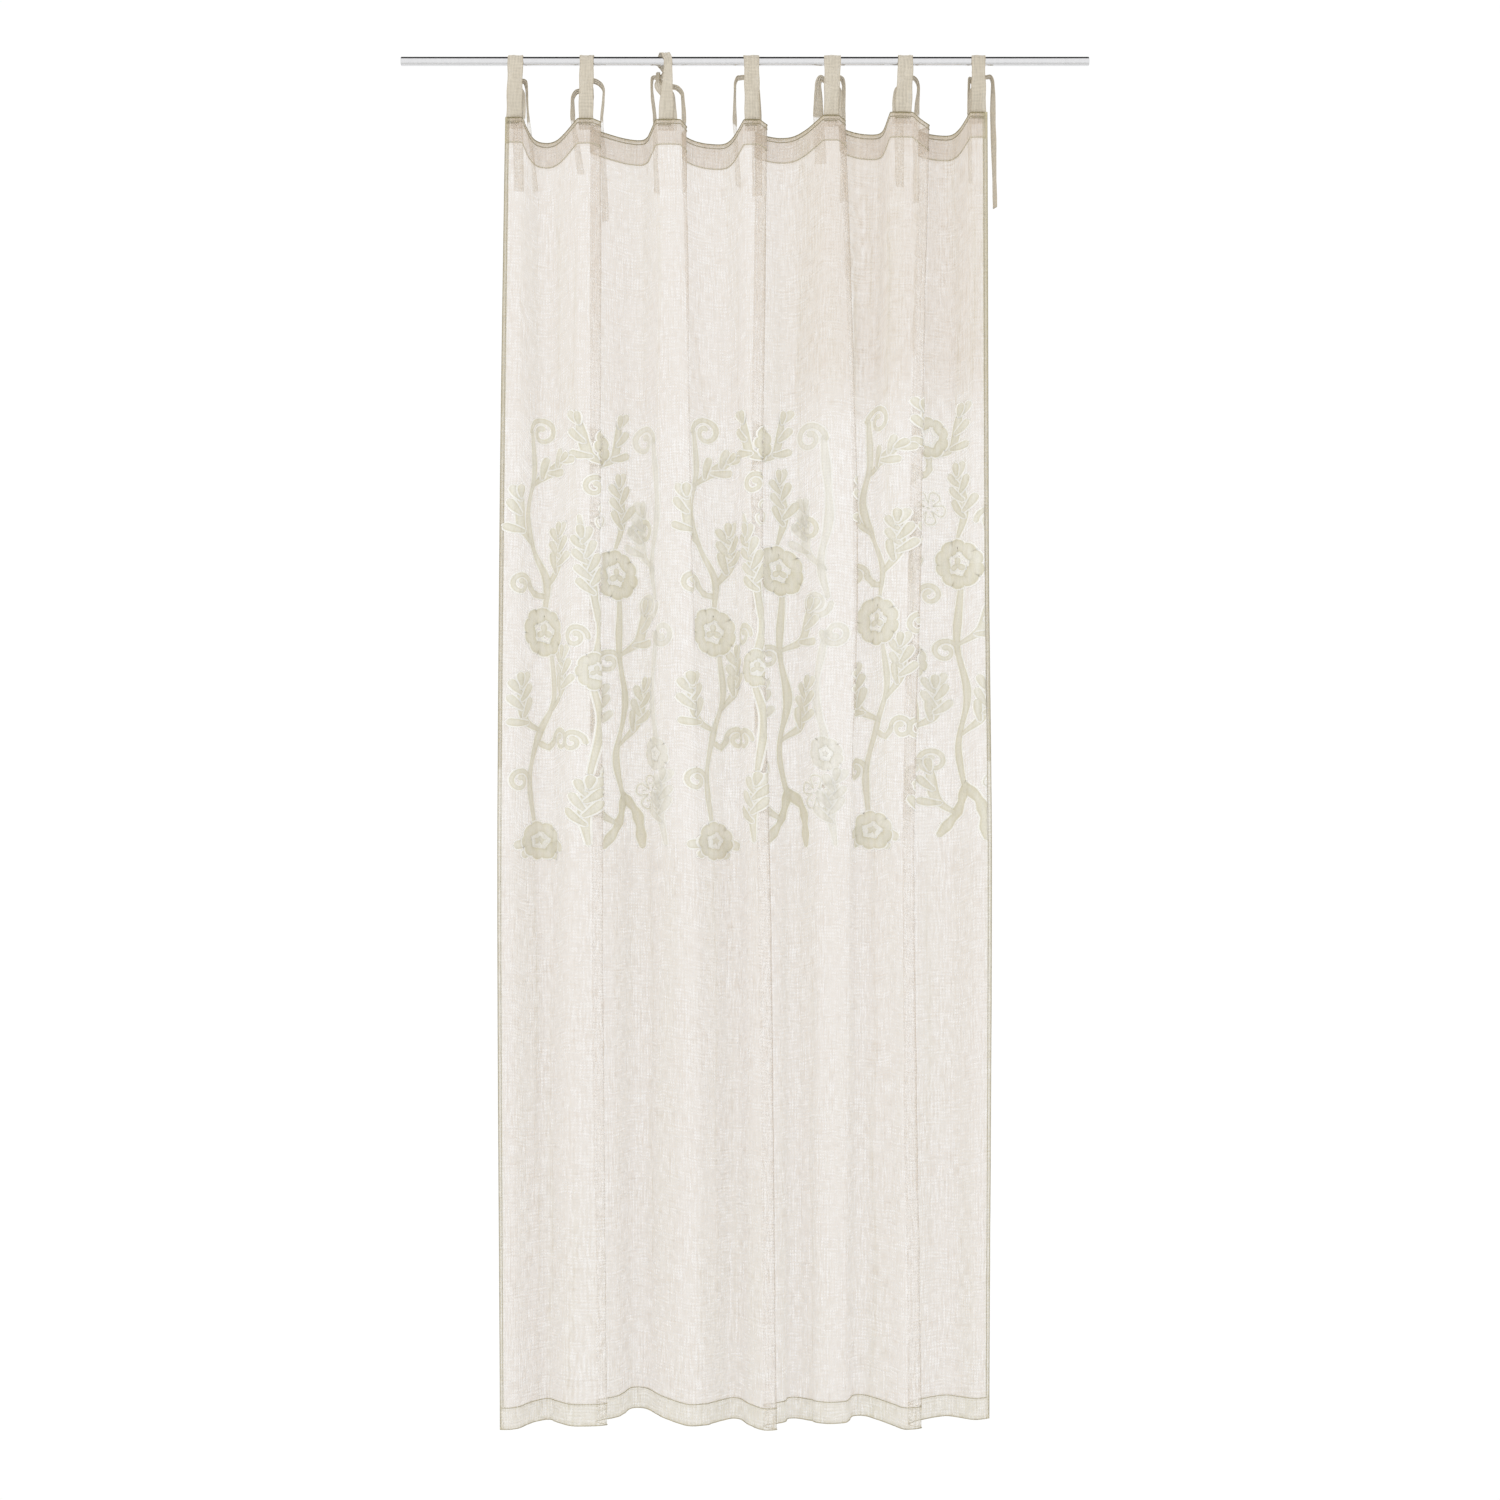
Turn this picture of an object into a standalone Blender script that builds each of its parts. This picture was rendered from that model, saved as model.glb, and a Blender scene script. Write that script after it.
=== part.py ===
"""A sheer voile curtain that hangs by seven pairs of cloth ties on a plain metal rod.

Metres, +Z up, the front faces -Y. The origin is on the rod's axis at mid length.
The cloth panel is one sheet with its heading, side hems and bottom hem turned in.
Each tie pair is sewn to the back of the heading: the front tie goes up and over the
rod, the back tie comes up behind, and one half knot below the rod holds them.
"""

import math
from collections import namedtuple

import bmesh
import bpy
import numpy as np

MM = 0.001

# Rod
ROD_LENGTH = 1228 * MM
ROD_RADIUS = 8 * MM
ROD_SIDES = 48
ROD_END_BEVEL = 0.8 * MM

# Cloth
CLOTH_THICKNESS = 1.2 * MM
HEM_THICKNESS = 1.9 * MM
TIE_THICKNESS = 1.2 * MM
GATHERED_THICKNESS = 2.6 * MM
HEADING_DEPTH = 47 * MM
HEM_DEPTH = 40 * MM
SIDE_HEM_WIDTH = 8 * MM
HEM_LEVEL = -2434 * MM
SEAM_GAP = 1.2 * MM
SEWN_LENGTH = 20 * MM

# Heights at which the folds are given: heading, flower band, below it, and hem
FOLD_HEIGHTS = (-100 * MM, -840 * MM, -1440 * MM, -2434 * MM)
# Below the heading the folds open out to their full depth over about this length
OPENING_LENGTH = 700 * MM

# One row for each line down the cloth, in millimetres. x is measured along the rod
# from its middle at the four heights, depth is behind the rod's axis at the heading
# and at the hem, and lift is how much higher the hem is there. At a tuck the cloth
# doubles back on itself between its front and back lines.
Fold = namedtuple("Fold", "name x_head x_band x_below x_hem d_head d_hem lift")
FOLDS = (
    Fold("left_edge", -428, -436, -439, -434, 0, -30, 0),
    Fold("tab1_right", -397, -402, -408, -406, 0, -24, 0),
    Fold("valley1", -356, -357, -359, -360, 30, 28, 0),
    Fold("tab2_left", -299, -305, -311, -318, 0, -28, 9),
    Fold("ridge2", -272, -279, -281, -277, 0, -35, 8),
    Fold("tuck2_front", -257, -256, -252, -243, 4, -27, 8),
    Fold("tuck2_back", -277, -279, -274, -264, 12, -13, 9),
    Fold("tuck2_end", -246, -238, -232, -226, 25, 12, 11),
    Fold("valley2", -195, -194, -193, -193, 38, 58, 13),
    Fold("tab3_left", -160, -152, -148, -144, 0, 8, 10),
    Fold("ridge3", -115, -112, -105, -98, 0, -30, 7),
    Fold("tuck3_front", -104, -95, -86, -80, 5, -29, 7),
    Fold("tuck3_back", -114, -97, -78, -68, 12, -18, 5),
    Fold("valley3", -50, -30, -21, -22, 32, 35, -1),
    Fold("tab4_left", -2, -2, 5, 12, 0, -8, 0),
    Fold("ridge4", 27, 18, 27, 36, 0, -33, 0),
    Fold("tuck4_front", 40, 32, 45, 57, 4, -28, 0),
    Fold("tuck4_back", 19, 11, 22, 34, 12, -14, 1),
    Fold("tuck4_end", 50, 48, 59, 70, 24, 10, 2),
    Fold("valley4", 74, 80, 86, 88, 30, 32, 2),
    Fold("tab5_left", 140, 134, 130, 130, 0, -10, 7),
    Fold("ridge5", 167, 166, 159, 159, 0, -20, 8),
    Fold("tuck5_front", 180, 201, 187, 180, 5, -15, 8),
    Fold("tuck5_back", 168, 193, 191, 187, 12, -4, 9),
    Fold("valley5", 230, 216, 209, 207, 24, 19, 10),
    Fold("tab6_left", 259, 248, 252, 259, 0, -16, 6),
    Fold("ridge6", 300, 291, 280, 284, 0, -40, 4),
    Fold("tuck6_front", 330, 314, 302, 313, 5, -31, 4),
    Fold("tuck6_back", 312, 293, 281, 291, 13, -15, 5),
    Fold("valley6", 360, 359, 361, 361, 30, 24, 8),
    Fold("tab7_left", 402, 405, 411, 411, 0, -10, 12),
    Fold("right_edge", 433, 434, 439, 434, 0, -18, 17),
)

# Each valley is rounded over this width
VALLEY_WIDTH = 20 * MM

# The top edge sags between two ties: its lowest line, how far it drops there, and how
# squarely it sags on each side, where 2 is a plain bow and more is a steeper side
Bay = namedtuple("Bay", "left low right drop square_left square_right")
BAYS = (
    Bay("tab1_right", "valley1", "tab2_left", 37, 3.6, 1.8),
    Bay("ridge2", "valley2", "tab3_left", 27, 1.7, 3.8),
    Bay("ridge3", "valley3", "tab4_left", 36, 3.0, 2.6),
    Bay("ridge4", "valley4", "tab5_left", 31, 2.6, 1.9),
    Bay("ridge5", "valley5", "tab6_left", 32, 2.4, 3.6),
    Bay("ridge6", "valley6", "tab7_left", 34, 3.0, 2.4),
)

# One row for each pair of ties, in millimetres: place and width of the front tie at
# the rod and at the heading, how far the back tie is sewn aside of it, the height of
# the heading there, how loose the front tie lies over the rod, how far it has moved
# aside behind it, the height of the knot, and the side on which it leaves the knot.
Tab = namedtuple("Tab", "x_rod w_rod x_head w_head back_aside top loose aside knot side")
TABS = (
    Tab(-409, 27, -412, 28, 13, -99, 1, 0, -25, -1),
    Tab(-282, 25, -284, 26, 1, -101, 1, 0, -30, 1),
    Tab(-137, 15, -141, 27, 14, -103, 6, -14, -25, -1),
    Tab(12, 27, 13, 27, 7, -103, 1, -2, -25, -1),
    Tab(156, 29, 154, 26, 11, -95, 1, 0, -25, 1),
    Tab(286, 27, 283, 30, -12, -90, 1, 1, -25, 1),
    Tab(416, 24, 417, 27, -9, -90, 1, 1, -25, 1),
)

# One row for each loose end, in millimetres and degrees: where it bows out beside the
# knot, where it passes the heading, where it ends, its width, and how far it has
# turned edge-on at the heading and at its end.
End = namedtuple("End", "x_out z_out x_head x_end z_end width turn_head turn_end")
ENDS = (
    (End(-421, -44, -408, -405, -228, 18, 10, 30), End(-391, -32, -389, -378, -224, 18, 72, 60)),
    (End(-309, -50, -309, -295, -197, 18, 66, 55), End(-253, -35, -259, -250, -277, 20, 72, 50)),
    (End(-167, -24, -161, -158, -231, 18, 70, 62), End(-112, -42, -111, -109, -227, 18, 66, 66)),
    (End(-18, -24, -18, -13, -216, 20, 72, 68), End(22, -46, 21, 22, -235, 18, 12, 20)),
    (End(131, -24, 131, 136, -179, 20, 25, 8), End(177, -26, 177, 175, -245, 18, 66, 58)),
    (End(272, -46, 276, 277, -220, 18, 20, 30), End(311, -28, 310, 306, -247, 18, 62, 58)),
    (End(401, -26, 401, 405, -215, 18, 64, 60), End(444, -22, 443, 448, -258, 16, 56, 74)),
)

# The sewn end of a back tie lies nearer to its front tie than its upper part does
BACK_SEWN_SHARE = 0.5
ROD_GAP = 0.8 * MM

# The half knot
KNOT_DEPTH = 12 * MM
KNOT_WIDTH = 7.5 * MM
KNOT_LOOP_THICKNESS = 2 * MM
BACK_KNOT_DEPTH = 17.5 * MM

# A loose end leaves the knot this far aside of it, rounds a shoulder and hangs down
END_LEAVES_KNOT = 11 * MM
SHOULDER_SHARE = 0.65
SHOULDER_DROP = 1 * MM
BELOW_SHOULDER = 14 * MM
END_HANG_DEPTH = 15 * MM
END_CLEARANCE = 3 * MM
END_SHARES = (0.0, 0.35, 0.7, 1.0)

# How finely the cloth is divided
STEPS_OF_A_FOLD = 3
STEPS_OF_A_VALLEY = 2
PANEL_ROWS = 19
HEADING_ROWS = (0, 0.35, 0.7, 1)
HEM_ROWS = (1, 0.5, 0)
ROW_CROWDING = 1.25
TIE_STEPS_PER_STATION = 2
PLACES_OF_A_SECTION = 900

FRONT = np.array((0.0, -1.0, 0.0))
BACK = np.array((0.0, 1.0, 0.0))
UP = np.array((0.0, 0.0, 1.0))


def unit(vector):
    return vector / np.linalg.norm(vector)


def smooth_through(places, values, at):
    """A smooth curve through the values that never swings past them."""
    places = np.asarray(places, float)
    values = np.asarray(values, float)
    steps = np.diff(places)
    slopes = np.diff(values) / steps
    tangents = np.zeros(len(values))
    tangents[0] = slopes[0]
    tangents[-1] = slopes[-1]
    for i in range(1, len(values) - 1):
        before, after = slopes[i - 1], slopes[i]
        if before * after > 0:
            tangents[i] = 2 * before * after / (before + after)
    at = np.clip(at, places[0], places[-1])
    k = np.clip(np.searchsorted(places, at, side="right") - 1, 0, len(steps) - 1)
    t = (at - places[k]) / steps[k]
    return (
        (1 + 2 * t) * (1 - t) ** 2 * values[k]
        + t * (1 - t) ** 2 * steps[k] * tangents[k]
        + t * t * (3 - 2 * t) * values[k + 1]
        + t * t * (t - 1) * steps[k] * tangents[k + 1]
    )


# A line down the cloth: its row of the table, and how far it lies beside it
Line = namedtuple("Line", "fold aside")


def lines_of_cloth():
    """The table's rows from left to right, with each valley as a pair of lines."""
    lines = []
    for fold in FOLDS:
        if fold.name.startswith("valley"):
            lines += [Line(fold, -VALLEY_WIDTH / 2), Line(fold, VALLEY_WIDTH / 2)]
        else:
            lines.append(Line(fold, 0.0))
    return lines


def line_place(name):
    """Where the named fold lies, counted in lines from the left."""
    found = [place for place, line in enumerate(LINES) if line.fold.name == name]
    return sum(found) / len(found)


def line_x(line, height):
    fold = line.fold
    across = (fold.x_head, fold.x_band, fold.x_below, fold.x_hem)
    return line.aside + MM * smooth_through([-h for h in FOLD_HEIGHTS], across, -height)


def fold_depth(fold, height):
    """The fold's depth, which changes fastest just below the heading."""
    down = max(FOLD_HEIGHTS[0] - height, 0.0)
    whole = FOLD_HEIGHTS[0] - FOLD_HEIGHTS[-1]
    opened = (1 - math.exp(-down / OPENING_LENGTH)) / (1 - math.exp(-whole / OPENING_LENGTH))
    return MM * (fold.d_head + (fold.d_hem - fold.d_head) * opened)


def section(across, height):
    """x and depth of the cloth at one height: a rounded curve through the fold lines.

    across counts the lines from the left. The curve is a centripetal Catmull-Rom
    spline, whose knots lie apart by the root of the distance between its points.
    """
    points = np.array([(line_x(line, height), fold_depth(line.fold, height)) for line in LINES])
    points = np.vstack([2 * points[0] - points[1], points, 2 * points[-1] - points[-2]])
    gaps = np.linalg.norm(np.diff(points, axis=0), axis=1) ** 0.5
    knots = np.concatenate([[0], np.cumsum(gaps)])
    k = np.clip(np.floor(across).astype(int), 0, len(LINES) - 2)
    t = (knots[k + 1] + (across - k) * gaps[k + 1])[..., None]
    p0, p1, p2, p3 = (points[k + i] for i in range(4))
    t0, t1, t2, t3 = (knots[k + i][..., None] for i in range(4))
    a1 = ((t1 - t) * p0 + (t - t0) * p1) / (t1 - t0)
    a2 = ((t2 - t) * p1 + (t - t1) * p2) / (t2 - t1)
    a3 = ((t3 - t) * p2 + (t - t2) * p3) / (t3 - t2)
    b1 = ((t2 - t) * a1 + (t - t0) * a2) / (t2 - t0)
    b2 = ((t3 - t) * a2 + (t - t1) * a3) / (t3 - t1)
    curve = ((t2 - t) * b1 + (t - t1) * b2) / (t2 - t1)
    return curve[..., 0], curve[..., 1]


def lengths_along_heading():
    """How far along the cloth each line lies, measured at the heading."""
    across = np.linspace(0, len(LINES) - 1, 40 * (len(LINES) - 1) + 1)
    x, y = section(across, FOLD_HEIGHTS[0])
    return across, np.concatenate([[0], np.cumsum(np.hypot(np.diff(x), np.diff(y)))])


def top_edge(across):
    """The height of the cloth's top edge: level at each tie, with a sag between."""
    lefts = [line_place(bay.left) for bay in BAYS]
    lows = [line_place(bay.low) for bay in BAYS]
    rights = [line_place(bay.right) for bay in BAYS]
    tie_lines = sorted([0] + lefts + rights + [len(LINES) - 1])
    height = np.interp(across, tie_lines, np.repeat([tab.top for tab in TABS], 2))
    for bay, left, low, right in zip(BAYS, lefts, lows, rights):
        if left < across < right:
            here, start, lowest, end = np.interp([across, left, low, right], *HEADING_LENGTHS)
            if here < lowest:
                share = ((lowest - here) / (lowest - start)) ** bay.square_left
            else:
                share = ((here - lowest) / (end - lowest)) ** bay.square_right
            height -= bay.drop * (1 - share)
    return MM * height


def bottom_edge(across):
    lift = smooth_through(np.arange(len(LINES)), [line.fold.lift for line in LINES], across)
    return HEM_LEVEL + MM * lift


def rearmost_layer(x, height, reach):
    """The depth of the rearmost cloth within reach of x."""
    across = np.linspace(0, len(LINES) - 1, PLACES_OF_A_SECTION)
    xs, ys = section(across, height)
    near = np.abs(xs - x) < max(reach, np.abs(xs - x).min() + MM)
    return ys[near].max()


def front_layer(x, height):
    """The depth of the foremost cloth at x."""
    across = np.linspace(0, len(LINES) - 1, PLACES_OF_A_SECTION)
    xs, ys = section(across, height)
    crossings = np.nonzero((xs[:-1] - x) * (xs[1:] - x) <= 0)[0]
    if not len(crossings):
        return ys[np.abs(xs - x).argmin()]
    share = (x - xs[crossings]) / (xs[crossings + 1] - xs[crossings])
    return (ys[crossings] + share * (ys[crossings + 1] - ys[crossings])).min()


def against_heading(left, right, height):
    """Slope and depth at x = 0 of a line flat against the back of the front layer."""
    places = np.linspace(left, right, 13)
    depths = np.array([front_layer(place, height) for place in places])
    slope = (depths[-1] - depths[0]) / (right - left)
    return slope, (depths - slope * places).max()


LINES = lines_of_cloth()
HEADING_LENGTHS = lengths_along_heading()
END_OF_PANEL = 440 * MM


def object_from(bm, name, material):
    mesh = bpy.data.meshes.new(name)
    bmesh.ops.recalc_face_normals(bm, faces=bm.faces)
    bm.to_mesh(mesh)
    bm.free()
    mesh.materials.append(material)
    mesh.shade_smooth()
    made = bpy.data.objects.new(name, mesh)
    curtain.objects.link(made)
    return made


def solidify(made, thickness, thinnest_share):
    """Gives the sheet its thickness: full where the group's weight is 1."""
    modifier = made.modifiers.new("thickness", "SOLIDIFY")
    modifier.thickness = thickness
    modifier.offset = 0
    modifier.vertex_group = "thick"
    modifier.thickness_vertex_group = thinnest_share


def sheet(name, material, across_cells, along_cells, place, weight):
    """A flat grid laid into its draped form. place and weight take the column and row."""
    bm = bmesh.new()
    bmesh.ops.create_grid(
        bm, x_segments=across_cells, y_segments=along_cells, size=0.5
    )
    weights = []
    for vertex in bm.verts:
        column = round((vertex.co.x + 0.5) * across_cells)
        row = round((0.5 - vertex.co.y) * along_cells)
        vertex.co = place(column, row)
        weights.append(weight(column, row))
    made = object_from(bm, name, material)
    group = made.vertex_groups.new(name="thick")
    for index, share in enumerate(weights):
        group.add([index], share, "REPLACE")
    return made


def panel_columns():
    """Places across the cloth: even steps in each fold, and one at each side hem."""
    last = len(LINES) - 1
    columns = []
    for place, (line, following) in enumerate(zip(LINES, LINES[1:])):
        steps = STEPS_OF_A_VALLEY if line.fold is following.fold else STEPS_OF_A_FOLD
        columns += [place + step / steps for step in range(steps)]
    columns.append(last)
    first_width = MM * (FOLDS[1].x_head - FOLDS[0].x_head)
    last_width = MM * (FOLDS[-1].x_head - FOLDS[-2].x_head)
    columns[1] = SIDE_HEM_WIDTH / first_width
    columns[-2] = last - SIDE_HEM_WIDTH / last_width
    return columns


def panel_rows():
    """Shares down the cloth: close at the heading and the hem, wider between."""
    length = TABS[0].top * MM - HEM_LEVEL
    heading = [share * HEADING_DEPTH for share in HEADING_ROWS]
    hem = [length - share * HEM_DEPTH for share in HEM_ROWS]
    steps = np.linspace(0, 1, PANEL_ROWS + 1)[1:-1]
    between = HEADING_DEPTH + (length - HEM_DEPTH - HEADING_DEPTH) * steps**ROW_CROWDING
    return [down / length for down in heading + list(between) + hem]


def make_panel(material):
    columns = panel_columns()
    rows = panel_rows()
    length = TABS[0].top * MM - HEM_LEVEL

    def place(column, row):
        across = columns[column]
        top = top_edge(across)
        height = top + (bottom_edge(across) - top) * rows[row]
        x, y = section(across, height)
        return (x, y, height)

    def weight(column, row):
        down = rows[row] * length
        turned = down <= HEADING_DEPTH + MM or down >= length - HEM_DEPTH - MM
        at_side = column <= 1 or column >= len(columns) - 2
        return 1.0 if turned or at_side else 0.0

    made = sheet("panel", material, len(columns) - 1, len(rows) - 1, place, weight)
    solidify(made, HEM_THICKNESS, CLOTH_THICKNESS / HEM_THICKNESS)
    return made


# A point on a tie's way: its middle, width, thickness and the way its face looks
Station = namedtuple("Station", "x y z width thickness facing")


def turned_facing(side, degrees):
    """The face of a hanging end, turned from the back towards its own side."""
    angle = math.radians(degrees)
    return np.array((side * math.sin(angle), math.cos(angle), 0.0))


def loose_end(end, side, knot_x, knot_y, knot_z, heading_top):
    """Stations from the knot, out to the side and down to the free end."""
    width = end.width * MM
    out_x, out_z = end.x_out * MM, end.z_out * MM
    first_x = knot_x + side * END_LEAVES_KNOT
    stations = [
        Station(
            first_x, knot_y, min(knot_z, out_z + 4 * MM), 0.45 * width, GATHERED_THICKNESS,
            BACK + 0.6 * UP,
        ),
        Station(
            first_x + (out_x - first_x) * SHOULDER_SHARE, END_HANG_DEPTH, out_z - SHOULDER_DROP,
            0.5 * width, TIE_THICKNESS, turned_facing(side, 0.6 * end.turn_head) + 0.4 * UP,
        ),
        Station(
            out_x, END_HANG_DEPTH, out_z - BELOW_SHOULDER, 0.6 * width, TIE_THICKNESS,
            turned_facing(side, end.turn_head),
        ),
    ]
    top = heading_top + 6 * MM
    for share in END_SHARES:
        z = top + (end.z_end * MM - top) * share
        x = MM * (end.x_head + (end.x_end - end.x_head) * share)
        turn = end.turn_head + (end.turn_end - end.turn_head) * share
        half = 0.5 * width
        beside = half * math.cos(math.radians(turn)) + 4 * MM
        behind = half * math.sin(math.radians(turn)) + END_CLEARANCE
        over_panel = abs(x) < END_OF_PANEL
        cloth = rearmost_layer(x, min(z, heading_top), beside) if over_panel else 0.0
        y = max(END_HANG_DEPTH, cloth + behind)
        stations.append(Station(x, y, z, width, TIE_THICKNESS, turned_facing(side, turn)))
    return stations


def sewn_end(tab, aside, width, gap):
    """The first stations of a tie, where it is sewn behind the heading.

    The two ties of a pair lie flat on each other there, over the width of both.
    """
    x, top = (tab.x_head + aside) * MM, tab.top * MM
    reach = (tab.w_head + abs(tab.back_aside * BACK_SEWN_SHARE)) * MM / 2
    middle = (tab.x_head + tab.back_aside * BACK_SEWN_SHARE / 2) * MM
    stations = []
    for height in (top - SEWN_LENGTH, top + 1 * MM):
        against = min(height, top - 2 * MM)
        slope, start = against_heading(middle - reach, middle + reach, against)
        y = start + slope * x + gap
        facing = unit(np.array((slope, -1.0, 0.0)))
        stations.append(Station(x, y, height, width, TIE_THICKNESS, facing))
    return stations


def front_tie(tab, ends):
    """From the back of the heading up, over the rod and into the knot."""
    side = tab.side
    rod_x, head_x, top = tab.x_rod * MM, tab.x_head * MM, tab.top * MM
    knot_x = rod_x + tab.aside * MM
    wide, wide_head = tab.w_rod * MM, tab.w_head * MM
    gap = HEM_THICKNESS / 2 + SEAM_GAP + TIE_THICKNESS / 2
    round_rod = ROD_RADIUS + TIE_THICKNESS / 2 + ROD_GAP
    way = sewn_end(tab, 0, wide_head, gap) + [
        Station(
            (head_x + rod_x) / 2, -0.6 * round_rod, top / 2, (wide + wide_head) / 2,
            TIE_THICKNESS, FRONT,
        ),
        Station(rod_x, -round_rod, -10 * MM, wide, TIE_THICKNESS, FRONT),
    ]
    for degrees in (0, 36, 72, 108, 144, 180):
        angle = math.radians(degrees)
        rise = math.sin(angle)
        facing = math.sin(angle) * UP - math.cos(angle) * BACK
        way.append(
            Station(
                rod_x + tab.aside * MM * degrees / 180, -round_rod * math.cos(angle),
                (round_rod + tab.loose * MM) * rise, wide, TIE_THICKNESS, facing,
            )
        )
    knot_z = tab.knot * MM
    into_knot = (
        (-4, 10.3, 15, 0.6 * wide, TIE_THICKNESS),
        (-7, 11.4, 9, KNOT_WIDTH, GATHERED_THICKNESS),
        (-3, 12.0, 2, KNOT_WIDTH, GATHERED_THICKNESS),
        (4, 12.0, 0, KNOT_WIDTH, GATHERED_THICKNESS),
    )
    for aside, y, above, width, thickness in into_knot:
        x = knot_x + side * aside * MM
        way.append(Station(x, y * MM, knot_z + above * MM, width, thickness, BACK))
    end = ends[0] if side < 0 else ends[1]
    return way + loose_end(end, side, knot_x, KNOT_DEPTH, knot_z, top)


def back_tie(tab, ends):
    """From the back of the heading up, over the front tie and down behind it."""
    side = -tab.side
    head_x, top = (tab.x_head + tab.back_aside) * MM, tab.top * MM
    knot_x, knot_z = (tab.x_rod + tab.aside) * MM, tab.knot * MM
    wide = 0.92 * tab.w_head * MM
    gap = HEM_THICKNESS / 2 + 2 * SEAM_GAP + 1.5 * TIE_THICKNESS
    crossing_x = knot_x - side * 4.5 * MM
    way = sewn_end(tab, tab.back_aside * BACK_SEWN_SHARE, wide, gap) + [
        Station(
            (2 * head_x + crossing_x) / 3, 5.0 * MM, 0.6 * top, 0.9 * wide,
            TIE_THICKNESS, FRONT,
        ),
    ]
    over_knot = (
        (6.4, -14, 0.5 * wide, TIE_THICKNESS, FRONT),
        (7.0, -5, 0.9 * KNOT_WIDTH, KNOT_LOOP_THICKNESS, FRONT),
        (7.0, 3, 0.9 * KNOT_WIDTH, KNOT_LOOP_THICKNESS, FRONT),
        (12.0, 9, 0.9 * KNOT_WIDTH, KNOT_LOOP_THICKNESS, UP),
        (17.2, 0, 0.9 * KNOT_WIDTH, KNOT_LOOP_THICKNESS, BACK),
    )
    for y, above, width, thickness, facing in over_knot:
        z = knot_z + above * MM
        way.append(Station(crossing_x, y * MM, z, width, thickness, facing))
    way.append(
        Station(
            knot_x + side * 4 * MM, 18 * MM, knot_z - 8 * MM, KNOT_WIDTH,
            GATHERED_THICKNESS, BACK,
        )
    )
    end = ends[0] if side < 0 else ends[1]
    return way + loose_end(end, side, knot_x, BACK_KNOT_DEPTH, knot_z - 5 * MM, top)


def make_tie(name, way, material):
    """A ribbon laid along its stations, with its own width and thickness at each."""
    middles = np.array([(s.x, s.y, s.z) for s in way])
    along = np.concatenate([[0], np.cumsum(np.linalg.norm(np.diff(middles, axis=0), axis=1))])
    numbers = np.arange((len(way) - 1) * TIE_STEPS_PER_STATION + 1) / TIE_STEPS_PER_STATION
    at = np.interp(numbers, np.arange(len(way)), along)
    path = np.stack([smooth_through(along, middles[:, k], at) for k in range(3)], axis=1)
    widths = smooth_through(along, [s.width for s in way], at)
    thicknesses = smooth_through(along, [s.thickness for s in way], at)
    facings = np.stack(
        [smooth_through(along, [s.facing[k] for s in way], at) for k in range(3)], axis=1
    )
    tangents = np.gradient(path, axis=0)
    thickest = thicknesses.max()

    def place(column, row):
        tangent = unit(tangents[row])
        across = unit(np.cross(tangent, unit(facings[row])))
        return path[row] + across * widths[row] * (column - 0.5)

    def weight(column, row):
        return thicknesses[row] / thickest

    made = sheet(name, material, 1, len(at) - 1, place, weight)
    solidify(made, thickest, 0.0)
    return made


def make_rod(material):
    bm = bmesh.new()
    bmesh.ops.create_cone(
        bm, cap_ends=True, segments=ROD_SIDES, radius1=ROD_RADIUS,
        radius2=ROD_RADIUS, depth=ROD_LENGTH,
    )
    made = object_from(bm, "rod", material)
    made.rotation_euler = (0, math.radians(90), 0)
    bevel = made.modifiers.new("end_edges", "BEVEL")
    bevel.width = ROD_END_BEVEL
    bevel.segments = 1
    bevel.limit_method = "ANGLE"
    bevel.angle_limit = math.radians(60)
    made.data.set_sharp_from_angle(angle=math.radians(40))
    return made


def surface(name, colour, roughness, metallic):
    material = bpy.data.materials.new(name)
    material.use_nodes = True
    shader = material.node_tree.nodes["Principled BSDF"]
    shader.inputs["Base Color"].default_value = (*colour, 1)
    shader.inputs["Roughness"].default_value = roughness
    shader.inputs["Metallic"].default_value = metallic
    return material


for existing in list(bpy.data.objects):
    bpy.data.objects.remove(existing, do_unlink=True)
curtain = bpy.data.collections.new("voile_curtain")
bpy.context.scene.collection.children.link(curtain)

make_rod(surface("rod_metal", (0.62, 0.62, 0.63), 0.35, 1.0))
make_panel(surface("voile", (0.84, 0.80, 0.75), 0.95, 0.0))
for number, (tab, ends) in enumerate(zip(TABS, ENDS), start=1):
    make_tie(
        f"tie_front_{number}", front_tie(tab, ends),
        surface(f"tie_front_{number}_cloth", (0.70, 0.65, 0.55), 0.95, 0.0),
    )
    make_tie(
        f"tie_back_{number}", back_tie(tab, ends),
        surface(f"tie_back_{number}_cloth", (0.68, 0.63, 0.53), 0.95, 0.0),
    )
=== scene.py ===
# %% [markdown]
# # A sheer gauze curtain on a thin metal rod
#
# The real thing is one length of crinkled cotton gauze, about 1.4 m wide. Its edges are
# turned in and stitched, a band of appliquéd flowers and vines is sewn across it, and
# seven pairs of cloth ties hold it to the rod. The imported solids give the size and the
# folds, and this lesson dresses them: each step first says what the piece is on the
# real curtain, and then makes it.

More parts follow.
